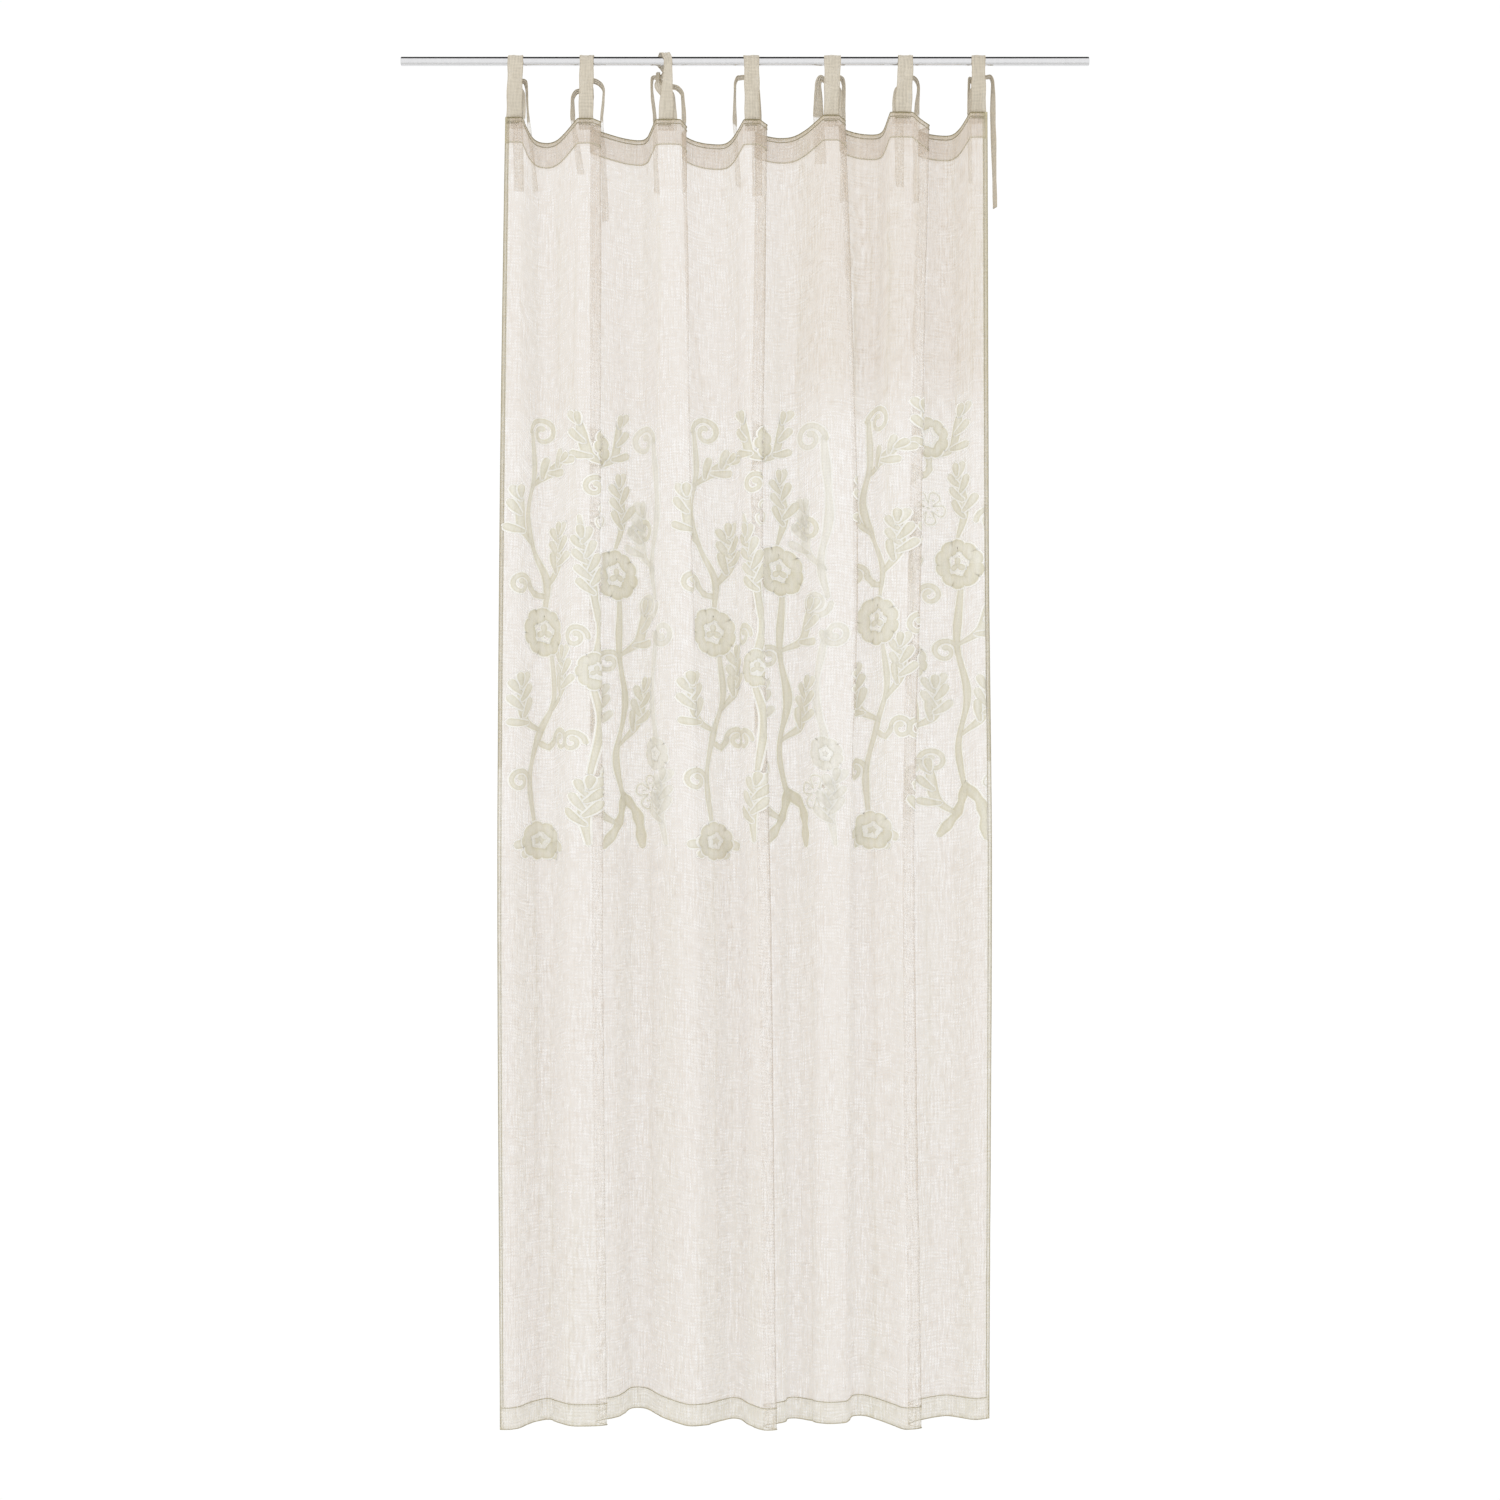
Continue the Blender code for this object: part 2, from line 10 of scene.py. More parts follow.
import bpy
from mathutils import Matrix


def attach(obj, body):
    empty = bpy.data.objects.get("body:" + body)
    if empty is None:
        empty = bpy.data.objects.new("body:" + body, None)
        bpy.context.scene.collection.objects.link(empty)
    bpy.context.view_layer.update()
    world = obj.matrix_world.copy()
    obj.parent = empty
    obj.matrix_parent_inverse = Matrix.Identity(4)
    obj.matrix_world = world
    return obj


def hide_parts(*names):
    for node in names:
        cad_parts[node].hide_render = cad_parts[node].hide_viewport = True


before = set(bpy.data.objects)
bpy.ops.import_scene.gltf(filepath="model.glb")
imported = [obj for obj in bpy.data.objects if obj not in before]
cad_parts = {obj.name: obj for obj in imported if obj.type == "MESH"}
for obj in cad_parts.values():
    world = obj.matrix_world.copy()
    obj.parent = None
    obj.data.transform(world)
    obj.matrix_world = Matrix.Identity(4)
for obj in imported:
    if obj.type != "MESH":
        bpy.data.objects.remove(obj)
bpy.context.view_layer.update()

import math
from collections import namedtuple

import bmesh
import bpy
import numpy as np
from mathutils import Matrix, Vector

MM = 0.001
SCENE = bpy.context.scene

# %% [markdown]
# ## The camera
#
# The curtain is looked at straight on, from the middle of its height, so its left and
# right edges stay upright. A camera four metres off sees it with little perspective.
# The lens follows from how much of the scene the square picture takes in.

# %% Camera
CAMERA_PLACE = (0.009, -4.0, -1.229)
VIEW_HEIGHT = 2.6775
camera = bpy.data.objects.new("camera", bpy.data.cameras.new("camera"))
camera.data.sensor_width = 36.0
camera.data.lens = camera.data.sensor_width * -CAMERA_PLACE[1] / VIEW_HEIGHT
camera.location = CAMERA_PLACE
camera.rotation_euler = (math.radians(90), 0, 0)
SCENE.collection.objects.link(camera)
SCENE.camera = camera
print("lens:", round(camera.data.lens, 2), "mm")

# %% [markdown]
# ## How the cloth hangs
#
# A hung cloth is easiest to describe by its folds. Each row below is one line down the
# cloth: where it is across the rod at four heights, how far behind the rod's axis it is
# at the heading and at the hem, and how much higher the hem ends there. Where the x of
# three rows runs back and forth, the cloth doubles back on itself in a narrow tuck.
# These are the same rows that the solids were made from, so the fine cloth lies on them.

# %% Fold lines
HEM_THICKNESS = 1.9 * MM
TIE_THICKNESS = 1.2 * MM
HEADING_DEPTH = 47 * MM
HEM_DEPTH = 40 * MM
SIDE_HEM_WIDTH = 8 * MM
HEM_LEVEL = -2434 * MM
SEAM_GAP = 1.2 * MM
SEWN_LENGTH = 20 * MM
ROD_RADIUS = 8 * MM

FOLD_HEIGHTS = (-100 * MM, -840 * MM, -1440 * MM, -2434 * MM)
OPENING_LENGTH = 700 * MM
VALLEY_WIDTH = 20 * MM

Fold = namedtuple("Fold", "name x_head x_band x_below x_hem d_head d_hem lift")
FOLDS = (
    Fold("left_edge", -428, -436, -439, -434, 0, -30, 0),
    Fold("tab1_right", -397, -402, -408, -406, 0, -24, 0),
    Fold("valley1", -356, -357, -359, -360, 30, 28, 0),
    Fold("tab2_left", -299, -305, -311, -318, 0, -28, 9),
    Fold("ridge2", -272, -279, -281, -277, 0, -35, 8),
    Fold("tuck2_front", -257, -256, -252, -243, 4, -27, 8),
    Fold("tuck2_back", -277, -279, -274, -264, 12, -13, 9),
    Fold("tuck2_end", -246, -238, -232, -226, 25, 12, 11),
    Fold("valley2", -195, -194, -193, -193, 38, 58, 13),
    Fold("tab3_left", -160, -152, -148, -144, 0, 8, 10),
    Fold("ridge3", -115, -112, -105, -98, 0, -30, 7),
    Fold("tuck3_front", -104, -95, -86, -80, 5, -29, 7),
    Fold("tuck3_back", -114, -97, -78, -68, 12, -18, 5),
    Fold("valley3", -50, -30, -21, -22, 32, 35, -1),
    Fold("tab4_left", -2, -2, 5, 12, 0, -8, 0),
    Fold("ridge4", 27, 18, 27, 36, 0, -33, 0),
    Fold("tuck4_front", 40, 32, 45, 57, 4, -28, 0),
    Fold("tuck4_back", 19, 11, 22, 34, 12, -14, 1),
    Fold("tuck4_end", 50, 48, 59, 70, 24, 10, 2),
    Fold("valley4", 74, 80, 86, 88, 30, 32, 2),
    Fold("tab5_left", 140, 134, 130, 130, 0, -10, 7),
    Fold("ridge5", 167, 166, 159, 159, 0, -20, 8),
    Fold("tuck5_front", 180, 201, 187, 180, 5, -15, 8),
    Fold("tuck5_back", 168, 193, 191, 187, 12, -4, 9),
    Fold("valley5", 230, 216, 209, 207, 24, 19, 10),
    Fold("tab6_left", 259, 248, 252, 259, 0, -16, 6),
    Fold("ridge6", 300, 291, 280, 284, 0, -40, 4),
    Fold("tuck6_front", 330, 314, 302, 313, 5, -31, 4),
    Fold("tuck6_back", 312, 293, 281, 291, 13, -15, 5),
    Fold("valley6", 360, 359, 361, 361, 30, 24, 8),
    Fold("tab7_left", 402, 405, 411, 411, 0, -10, 12),
    Fold("right_edge", 433, 434, 439, 434, 0, -18, 17),
)

Bay = namedtuple("Bay", "left low right drop square_left square_right")
BAYS = (
    Bay("tab1_right", "valley1", "tab2_left", 37, 3.6, 1.8),
    Bay("ridge2", "valley2", "tab3_left", 27, 1.7, 3.8),
    Bay("ridge3", "valley3", "tab4_left", 36, 3.0, 2.6),
    Bay("ridge4", "valley4", "tab5_left", 31, 2.6, 1.9),
    Bay("ridge5", "valley5", "tab6_left", 32, 2.4, 3.6),
    Bay("ridge6", "valley6", "tab7_left", 34, 3.0, 2.4),
)
TIE_TOPS = (-99, -101, -103, -103, -95, -90, -90)
print("fold lines:", len(FOLDS), "bays:", len(BAYS))

# %% [markdown]
# Between the rows the cloth is a rounded curve. Working it out for every point of a fine
# mesh is slow, so it is worked out once, on a table of heights and places across, and
# read from there.

# %% Curves through the fold lines
def smooth_through(places, values, at):
    """A smooth curve through the values that never swings past them."""
    places, values = np.asarray(places, float), np.asarray(values, float)
    steps = np.diff(places)
    slopes = np.diff(values) / steps
    before, after = slopes[:-1], slopes[1:]
    level = before * after <= 0
    inner = np.where(level, 0.0, 2 * before * after / np.where(level, 1.0, before + after))
    tangents = np.concatenate([slopes[:1], inner, slopes[-1:]])
    at = np.clip(at, places[0], places[-1])
    k = np.clip(np.searchsorted(places, at, side="right") - 1, 0, len(steps) - 1)
    t = (at - places[k]) / steps[k]
    return (
        (1 + 2 * t) * (1 - t) ** 2 * values[k]
        + t * (1 - t) ** 2 * steps[k] * tangents[k]
        + t * t * (3 - 2 * t) * values[k + 1]
        + t * t * (t - 1) * steps[k] * tangents[k + 1]
    )


def smooth_step(share):
    share = np.clip(share, 0.0, 1.0)
    return share * share * (3 - 2 * share)


Line = namedtuple("Line", "fold aside")
VALLEY_SIDES = (-VALLEY_WIDTH / 2, VALLEY_WIDTH / 2)
LINES = [Line(fold, aside) for fold in FOLDS
         for aside in (VALLEY_SIDES if fold.name.startswith("valley") else (0.0,))]


def line_place(name):
    """Where the named fold lies, counted in lines from the left."""
    found = [place for place, line in enumerate(LINES) if line.fold.name == name]
    return sum(found) / len(found)


def section(across, height):
    """x and depth of the cloth at one height: a rounded curve through the fold lines."""
    down = max(FOLD_HEIGHTS[0] - height, 0.0)
    whole = FOLD_HEIGHTS[0] - FOLD_HEIGHTS[-1]
    opened = (1 - math.exp(-down / OPENING_LENGTH)) / (1 - math.exp(-whole / OPENING_LENGTH))
    levels = [-level for level in FOLD_HEIGHTS]
    points = np.array([
        (line.aside + MM * smooth_through(levels, line.fold[1:5], -height),
         MM * (line.fold.d_head + (line.fold.d_hem - line.fold.d_head) * opened))
        for line in LINES
    ])
    points = np.vstack([2 * points[0] - points[1], points, 2 * points[-1] - points[-2]])
    gaps = np.linalg.norm(np.diff(points, axis=0), axis=1) ** 0.5
    knots = np.concatenate([[0], np.cumsum(gaps)])
    k = np.clip(np.floor(across).astype(int), 0, len(LINES) - 2)
    t = (knots[k + 1] + (across - k) * gaps[k + 1])[..., None]
    p0, p1, p2, p3 = (points[k + i] for i in range(4))
    t0, t1, t2, t3 = (knots[k + i][..., None] for i in range(4))

    def drawn(p, q, start, end):
        return ((end - t) * p + (t - start) * q) / (end - start)

    a1, a2, a3 = drawn(p0, p1, t0, t1), drawn(p1, p2, t1, t2), drawn(p2, p3, t2, t3)
    curve = drawn(drawn(a1, a2, t0, t2), drawn(a2, a3, t1, t3), t1, t2)
    return curve[..., 0], curve[..., 1]


print("lines through the cloth:", len(LINES), "with two for each valley")

# %% The table of heights and places
PLACES_PER_LINE = 24
LEVEL_STEP = 8 * MM
BAND_LEVEL = -980 * MM
LAST_LINE = len(LINES) - 1
PLACES = np.linspace(0, LAST_LINE, PLACES_PER_LINE * LAST_LINE + 1)
LEVELS = np.arange(-60 * MM, HEM_LEVEL - 2 * LEVEL_STEP, -LEVEL_STEP)
TABLE_X, TABLE_Y = np.array([section(PLACES, level) for level in LEVELS]).transpose(1, 0, 2)

# As the camera sees it: 1 where a layer hides behind the front of a tuck, 1 where it is
# any of the layers of a tuck, and which one: 0 the front, 1 the middle, 2 the back
SLACK = 0.0002
seen_x = (TABLE_X - CAMERA_PLACE[0]) / (TABLE_Y - CAMERA_PLACE[1])
later_x = np.minimum.accumulate(seen_x[:, ::-1], axis=1)[:, ::-1]
TABLE_HIDDEN = (seen_x < np.maximum.accumulate(seen_x, axis=1) - SLACK).astype(float)
TABLE_TUCK = np.maximum(TABLE_HIDDEN, seen_x > later_x + SLACK)
TUCK_LAYER = np.where(TABLE_HIDDEN > 0, np.where(np.gradient(seen_x, axis=1) < 0, 1, 2), 0)


def between(table, row, column):
    """A value between the entries of a table."""
    row = np.clip(row, 0, table.shape[0] - 1.0001)
    column = np.clip(column, 0, table.shape[1] - 1.0001)
    i, j = row.astype(int), column.astype(int)
    a, b = row - i, column - j
    upper = table[i, j] * (1 - b) + table[i, j + 1] * b
    lower = table[i + 1, j] * (1 - b) + table[i + 1, j + 1] * b
    return upper * (1 - a) + lower * a


def looked_up(table, place, height):
    """A table's value for many places and heights at once."""
    return between(table, (LEVELS[0] - height) / LEVEL_STEP, place * PLACES_PER_LINE)


def lengths_at(height):
    """How far along the cloth each place lies, measured at one height."""
    x, y = section(PLACES, height)
    return np.concatenate([[0], np.cumsum(np.hypot(np.diff(x), np.diff(y)))])


HEADING_LENGTHS = lengths_at(FOLD_HEIGHTS[0])
BAND_LENGTHS = lengths_at(BAND_LEVEL)
WIDTH = BAND_LENGTHS[-1]
LENGTH = TIE_TOPS[0] * MM - HEM_LEVEL
print("cloth across the flower band:", round(WIDTH, 3), "m, drop:", round(LENGTH, 3), "m")

# %% The top and bottom edges
def top_edge(place):
    """The height of the cloth's top edge: level at each tie, with a sag between."""
    lefts, lows, rights = (list(map(line_place, names)) for names in list(zip(*BAYS))[:3])
    tie_lines = sorted([0] + lefts + rights + [LAST_LINE])
    height = np.interp(place, tie_lines, np.repeat(TIE_TOPS, 2).astype(float))
    here = np.interp(place, PLACES, HEADING_LENGTHS)
    for bay, left, low, right in zip(BAYS, lefts, lows, rights):
        start, lowest, end = np.interp([left, low, right], PLACES, HEADING_LENGTHS)
        before = np.clip((lowest - here) / (lowest - start), 0, 1) ** bay.square_left
        after = np.clip((here - lowest) / (end - lowest), 0, 1) ** bay.square_right
        height = height - bay.drop * (1 - np.where(here < lowest, before, after))
    return MM * height


def bottom_edge(place):
    lifts = [line.fold.lift for line in LINES]
    return HEM_LEVEL + MM * smooth_through(np.arange(len(LINES)), lifts, place)


EDGE_TABLE = np.array([top_edge(PLACES), bottom_edge(PLACES)])


def foremost(x, height):
    """How far along the cloth its foremost layer is at x, and how deep it hangs."""
    xs, ys = section(PLACES, height)
    crossings = np.nonzero((xs[:-1] - x) * (xs[1:] - x) <= 0)[0]
    if not len(crossings):
        crossings = np.array([np.abs(xs - x).argmin()])
    nearest = crossings[np.argmin(ys[crossings])]
    return BAND_LENGTHS[nearest], ys[nearest]


print("top edge from", round(EDGE_TABLE[0].min(), 3), "to", round(EDGE_TABLE[0].max(), 3))

# %% [markdown]
# ## Small relief: creases, swells and crinkle
#
# Gauze isn't smooth. It keeps soft creases from how it was folded and gathered, it
# swells a little between them, and the weave itself is crinkled down its length. The
# main creases are listed, one row each. The rest wanders by a seeded random
# table, so it comes out the same every time.

# %% Relief of the cloth
Crease = namedtuple("Crease", "x_top z_top x_low z_low depth width")
CREASES = (
    Crease(-305, -230, -309, -930, 4.0, 9),
    Crease(-336, -250, -330, -620, -2.5, 12),
    Crease(-378, -1300, -370, -2430, -4.0, 13),
    Crease(-352, -1450, -350, -2430, 4.0, 12),
    Crease(-300, -1500, -305, -2400, -3.0, 14),
    Crease(-153, -210, -150, -760, -3.0, 9),
    Crease(-170, -1250, -168, -2300, 3.0, 12),
    Crease(-62, -1150, -52, -2350, -3.0, 14),
    Crease(-18, -300, -8, -900, 3.5, 9),
    Crease(-25, -1300, -18, -2400, 3.0, 14),
    Crease(-97, -430, -52, -690, 3.5, 8),
    Crease(98, -250, 93, -1500, 3.0, 10),
    Crease(188, -330, 203, -640, 3.0, 9),
    Crease(318, -380, 343, -650, 3.0, 9),
    Crease(118, -1500, 120, -2420, 3.5, 13),
    Crease(222, -200, 226, -520, -2.5, 10),
    Crease(255, -230, 252, -930, 4.0, 9),
    Crease(236, -1250, 232, -2400, -3.0, 13),
    Crease(330, -1350, 336, -2300, 3.0, 12),
    Crease(385, -350, 380, -1150, -3.0, 12),
    Crease(410, -230, 405, -600, 3.5, 8),
)
CREASE_LINE = 3.2 * MM
CREASE_SWAY = 3 * MM
CREASE_SWAY_LENGTH = 70 * MM
CREASE_FADE = 0.2
SETTLING_LENGTH = 300 * MM
# Broad swells, upright crinkles and cross ones: how high they are, what share of that
# they have at the heading, how far apart they are both ways, and their seed
WANDERINGS = ((2.2 * MM, 0, 55, 420, 3), (0.8 * MM, 0.35, 10, 80, 5), (0.32 * MM, 0.35, 16, 22, 6))


def wandering(s, v, pitch_s, pitch_v, seed):
    """Soft random relief between -1 and 1, with a new value every pitch."""
    columns = int((WIDTH + 0.1) / pitch_s) + 3
    rows = int((LENGTH + 0.2) / pitch_v) + 3
    table = np.random.default_rng(seed).uniform(-1, 1, (rows, columns))
    row, column = v / pitch_v + 1, s / pitch_s + 1
    soft_row = np.floor(row) + smooth_step(row - np.floor(row))
    soft_column = np.floor(column) + smooth_step(column - np.floor(column))
    return between(table, soft_row, soft_column)


CREASE_LINES = [
    (crease, foremost(crease.x_top * MM, crease.z_top * MM)[0],
     foremost(crease.x_low * MM, crease.z_low * MM)[0])
    for crease in CREASES
]


def beside_creases(s, height):
    """For each crease how far s is from its middle, and how strong it is there."""
    for crease, s_top, s_low in CREASE_LINES:
        down = (crease.z_top * MM - height) / ((crease.z_top - crease.z_low) * MM)
        middle = s_top + (s_low - s_top) * np.clip(down, 0, 1)
        middle = middle + CREASE_SWAY * np.sin(height / CREASE_SWAY_LENGTH + s_top)
        fade = smooth_step(down / CREASE_FADE)
        if crease.z_low * MM > HEM_LEVEL + HEM_DEPTH:
            fade = fade * smooth_step((1 - down) / CREASE_FADE)
        yield crease, s - middle, fade


def crease_marks(s, height):
    """The fine lines where the gauze has been folded, from 0 to 1. The panel is painted denser and
    darker along them, partly for the folded cloth and partly as painted shade in the creases.
    """
    return sum(fade * np.exp(-(across / CREASE_LINE) ** 2)
               for _, across, fade in beside_creases(s, height))


def relief(s, v, height):
    """How far the cloth stands off its folds, forwards."""
    raised = np.zeros_like(s)
    for crease, across, fade in beside_creases(s, height):
        raised = raised - crease.depth * MM * fade * np.exp(-(across / (crease.width * MM)) ** 2)
    settled = smooth_step(v / SETTLING_LENGTH)
    for size, least, pitch_s, pitch_v, seed in WANDERINGS:
        strength = size * (least + (1 - least) * settled)
        raised = raised + strength * wandering(s, v, pitch_s * MM, pitch_v * MM, seed)
    return raised


print("creases:", len(CREASES), "kinds of wandering relief:", len(WANDERINGS))

# %% [markdown]
# ## Flat cloth to hung cloth
#
# A sewer works on flat cloth, so everything on the curtain is drawn flat here too: s is
# the distance from the left edge, v the distance down from the top edge, and h stands
# off the front. One function then hangs any such point. Past an edge the cloth is turned
# in, so a point there comes back behind the front.

# %% The hanging function
TURN_GAP = 1.3 * MM
TURN_ROUND = 1.2 * MM
NEAR = 0.04


def turned_in(value, end):
    """The place on the front that a turned-in point lies behind, and how far it is behind."""
    over = np.maximum(-value, value - end)
    inside = np.where(value < 0, -value, np.where(value > end, 2 * end - value, value))
    return inside, TURN_GAP * smooth_step(over / TURN_ROUND)


def hang(s, v, h=0.0):
    """Points of the flat cloth as they hang, as an array of x, y and z."""
    s_in, behind_s = turned_in(s, WIDTH)
    v_in, behind_v = turned_in(v, LENGTH)
    place = np.interp(s_in, BAND_LENGTHS, PLACES)
    top, bottom = (between(EDGE_TABLE, np.full_like(place, row), place * PLACES_PER_LINE)
                   for row in (0, 1))
    height = top + (bottom - top) * v_in / LENGTH
    x, y = (looked_up(table, place, height) for table in (TABLE_X, TABLE_Y))
    after, before = np.minimum(place + NEAR, LAST_LINE), np.maximum(place - NEAR, 0)
    run, rise = (looked_up(table, after, height) - looked_up(table, before, height)
                 for table in (TABLE_X, TABLE_Y))
    size = np.hypot(run, rise)
    stands = h - behind_s - behind_v + relief(s_in, v_in, height)
    return np.stack([x + rise / size * stands, y - run / size * stands, height], axis=-1)


print("middle of the hem:", np.round(hang(np.array([WIDTH / 2]), np.array([LENGTH])), 3).tolist())

# %% [markdown]
# ## The light
#
# The curtain was seen against a bright white surround, which a white world gives. High
# up behind the curtain a narrow patch of the world is dark, like a gap in a studio's
# white ceiling, and the top of the round rod mirrors it as a dark line. The patch is
# painted on the world's directions with a few nodes, which needs no picture.

# %% World
def put(socket, value):
    """Links a socket to another socket, or sets it to a plain value."""
    if isinstance(value, bpy.types.NodeSocket):
        socket.id_data.links.new(value, socket)
    else:
        socket.default_value = value


def filled(node, values):
    """Puts each value into the node's socket of that name or number."""
    for socket, value in (values.items() if isinstance(values, dict) else enumerate(values)):
        put(node.inputs[socket], value)
    return node


def maths(nodes, operation, *values, clamp=False, kind="ShaderNodeMath"):
    node = filled(nodes.new(kind), values)
    node.operation = operation
    if clamp:
        node.use_clamp = True
    return node.outputs["Value" if kind == "ShaderNodeMath" or operation == "DOT_PRODUCT" else 0]


def two_colours(nodes, factor, *stops):
    """From one colour to another. Each stop is a position and a colour."""
    ramp = filled(nodes.new("ShaderNodeValToRGB"), {"Fac": factor})
    for element, (position, colour) in zip(ramp.color_ramp.elements, stops):
        element.position = position
        element.color = (*colour, 1)
    return ramp.outputs["Color"]


DARK_TOWARDS = (0, 0.375, 0.927)
DARK_STARTS = 0.68
DARK_FULL = 0.735
DARK_NARROWS = 40
DARK = (0.02, 0.02, 0.02)
WHITE = (1.0, 1.0, 1.0)
WORLD_STRENGTH = 1.02

world = bpy.data.worlds.new("studio")
SCENE.world = world
world.use_nodes = True
nodes = world.node_tree.nodes
nodes.clear()
direction = nodes.new("ShaderNodeTexCoord").outputs["Generated"]
towards = maths(nodes, "DOT_PRODUCT", direction, DARK_TOWARDS, kind="ShaderNodeVectorMath")
axes = filled(nodes.new("ShaderNodeSeparateXYZ"), [direction])
aside = maths(nodes, "POWER", axes.outputs["X"], 4)
dark = maths(nodes, "MULTIPLY_ADD", aside, -DARK_NARROWS, towards)
background = filled(nodes.new("ShaderNodeBackground"), {
    "Color": two_colours(nodes, dark, (DARK_STARTS, WHITE), (DARK_FULL, DARK)),
    "Strength": WORLD_STRENGTH})
filled(nodes.new("ShaderNodeOutputWorld"), {"Surface": background.outputs[0]})

SCENE.view_settings.view_transform = "Standard"
print("world nodes:", len(nodes))

# %% [markdown]
# One weak, large lamp from the upper left models the folds, which show hardly any shade.
# Light passes many layers of gauze, so a ray may go through more of them than usual.

# %% Lamp
LAMP_PLACE = Vector((-2.4, -3.6, 0.8))
LAMP_AIM = Vector((0, 0, -1.2))
LAMP_SIZE = 1.6
LAMP_POWER = 14
MOST_LAYERS = 32


def made_object(name, data):
    thing = bpy.data.objects.new(name, data)
    SCENE.collection.objects.link(thing)
    return thing


lamp = made_object("window_left", bpy.data.lights.new("window_left", "AREA"))
lamp.data.shape = "DISK"
lamp.data.size = LAMP_SIZE
lamp.data.energy = LAMP_POWER
lamp.location = LAMP_PLACE
lamp.rotation_euler = (LAMP_PLACE - LAMP_AIM).to_track_quat("Z", "Y").to_euler()
lamp.visible_camera = False
SCENE.cycles.transparent_max_bounces = MOST_LAYERS
print("lamp at", tuple(LAMP_PLACE), "power", LAMP_POWER)

# %% [markdown]
# ## The floor
#
# A plain pale floor lies well below the hem, where the straight view doesn't reach it.

# %% Floor
FLOOR_LEVEL = -2.9
FLOOR_BACK = 0.95
FLOOR_HALF_WIDTH = 2.4
FLOOR_FRONT = -2.6
FLOOR_COLOUR = (0.96, 0.96, 0.95)
FLOOR_ROUGHNESS = 0.7


def new_material(name):
    """A new material, its nodes and its shader."""
    material = bpy.data.materials.new(name)
    material.use_nodes = True
    nodes = material.node_tree.nodes
    return material, nodes, nodes["Principled BSDF"]


def made_mesh(name, bm):
    mesh = bpy.data.meshes.new(name)
    bm.to_mesh(mesh)
    bm.free()
    return mesh


bm = bmesh.new()
bmesh.ops.create_grid(bm, x_segments=1, y_segments=1, size=0.5)
bmesh.ops.scale(bm, verts=bm.verts, vec=(2 * FLOOR_HALF_WIDTH, FLOOR_BACK - FLOOR_FRONT, 1))
bmesh.ops.translate(bm, verts=bm.verts, vec=(0, (FLOOR_BACK + FLOOR_FRONT) / 2, FLOOR_LEVEL))
paint, _, shader = new_material("floor_paint")
filled(shader, {"Base Color": (*FLOOR_COLOUR, 1), "Roughness": FLOOR_ROUGHNESS})
floor = made_object("floor", made_mesh("floor", bm))
floor.data.materials.append(paint)
print("floor at", FLOOR_LEVEL, "m")

# %% [markdown]
# ## Gauze as a material
#
# Gauze is an open weave of fine, uneven threads. Light goes between them, so one layer
# is half see-through, and where two or three layers lie on each other it turns from
# nearly white to beige. A node group works out how much of each spot is covered by
# thread: rows of small creases and short thick places, upright ones and cross ones,
# strong in some patches and weak in others. Noise that is drawn out along the threads
# makes them, so they run on over the whole cloth. All cloth and needlework uses the
# group with its own values.

# %% Threads and their marks
def stretched_noise(nodes, vector, stretch, detail, dimensions="2D"):
    """Noise drawn out along one way of the cloth. stretch is marks to the metre each way."""
    scaled = maths(nodes, "MULTIPLY", vector, stretch, kind="ShaderNodeVectorMath")
    noise = nodes.new("ShaderNodeTexNoise")
    noise.noise_dimensions = dimensions
    return filled(noise, {"Vector": scaled, "Scale": 1.0, "Detail": detail}).outputs["Fac"]


def threads(nodes, vector, axis, pitch, wobble):
    """Rows of thread, from 0 in the gaps to 1 on a thread."""
    wave = nodes.new("ShaderNodeTexWave")
    wave.bands_direction = axis
    return filled(wave, {"Vector": vector, "Scale": math.pi / 10 / pitch, "Distortion": wobble,
                         "Detail": 1.0, "Detail Scale": 0.6}).outputs["Fac"]


def marks(nodes, vector, axis, across, along, pitch, patches, steep, start):
    """The marks of one way of thread, from about -0.8 to 0.8: short thick places and wavy
    rows of small creases. They are strong in some patches and weak in others."""
    dashes = maths(nodes, "SUBTRACT", stretched_noise(nodes, vector, (across, along, 1), 0.0), 0.5)
    creases = maths(nodes, "MULTIPLY_ADD", threads(nodes, vector, axis, pitch, 5.0), 0.4, -0.2)
    where = maths(nodes, "MULTIPLY_ADD", stretched_noise(nodes, vector, (*patches, 1), 2.0),
                  steep, start, clamp=True)
    return maths(nodes, "MULTIPLY", maths(nodes, "ADD", dashes, creases),
                 maths(nodes, "MULTIPLY_ADD", where, 0.5, 0.65))


print("marks are drawn along and across the threads")

# %% Gauze node group
def group_of(name, inputs, outputs):
    """A shader node group with named sockets, and its insides' ends."""
    group = bpy.data.node_groups.new(name, "ShaderNodeTree")
    for way, sockets in (("INPUT", inputs), ("OUTPUT", outputs)):
        for socket, kind in sockets.items():
            group.interface.new_socket(socket, in_out=way, socket_type=f"NodeSocket{kind}")
    return group, group.nodes.new("NodeGroupInput").outputs, group.nodes.new("NodeGroupOutput")


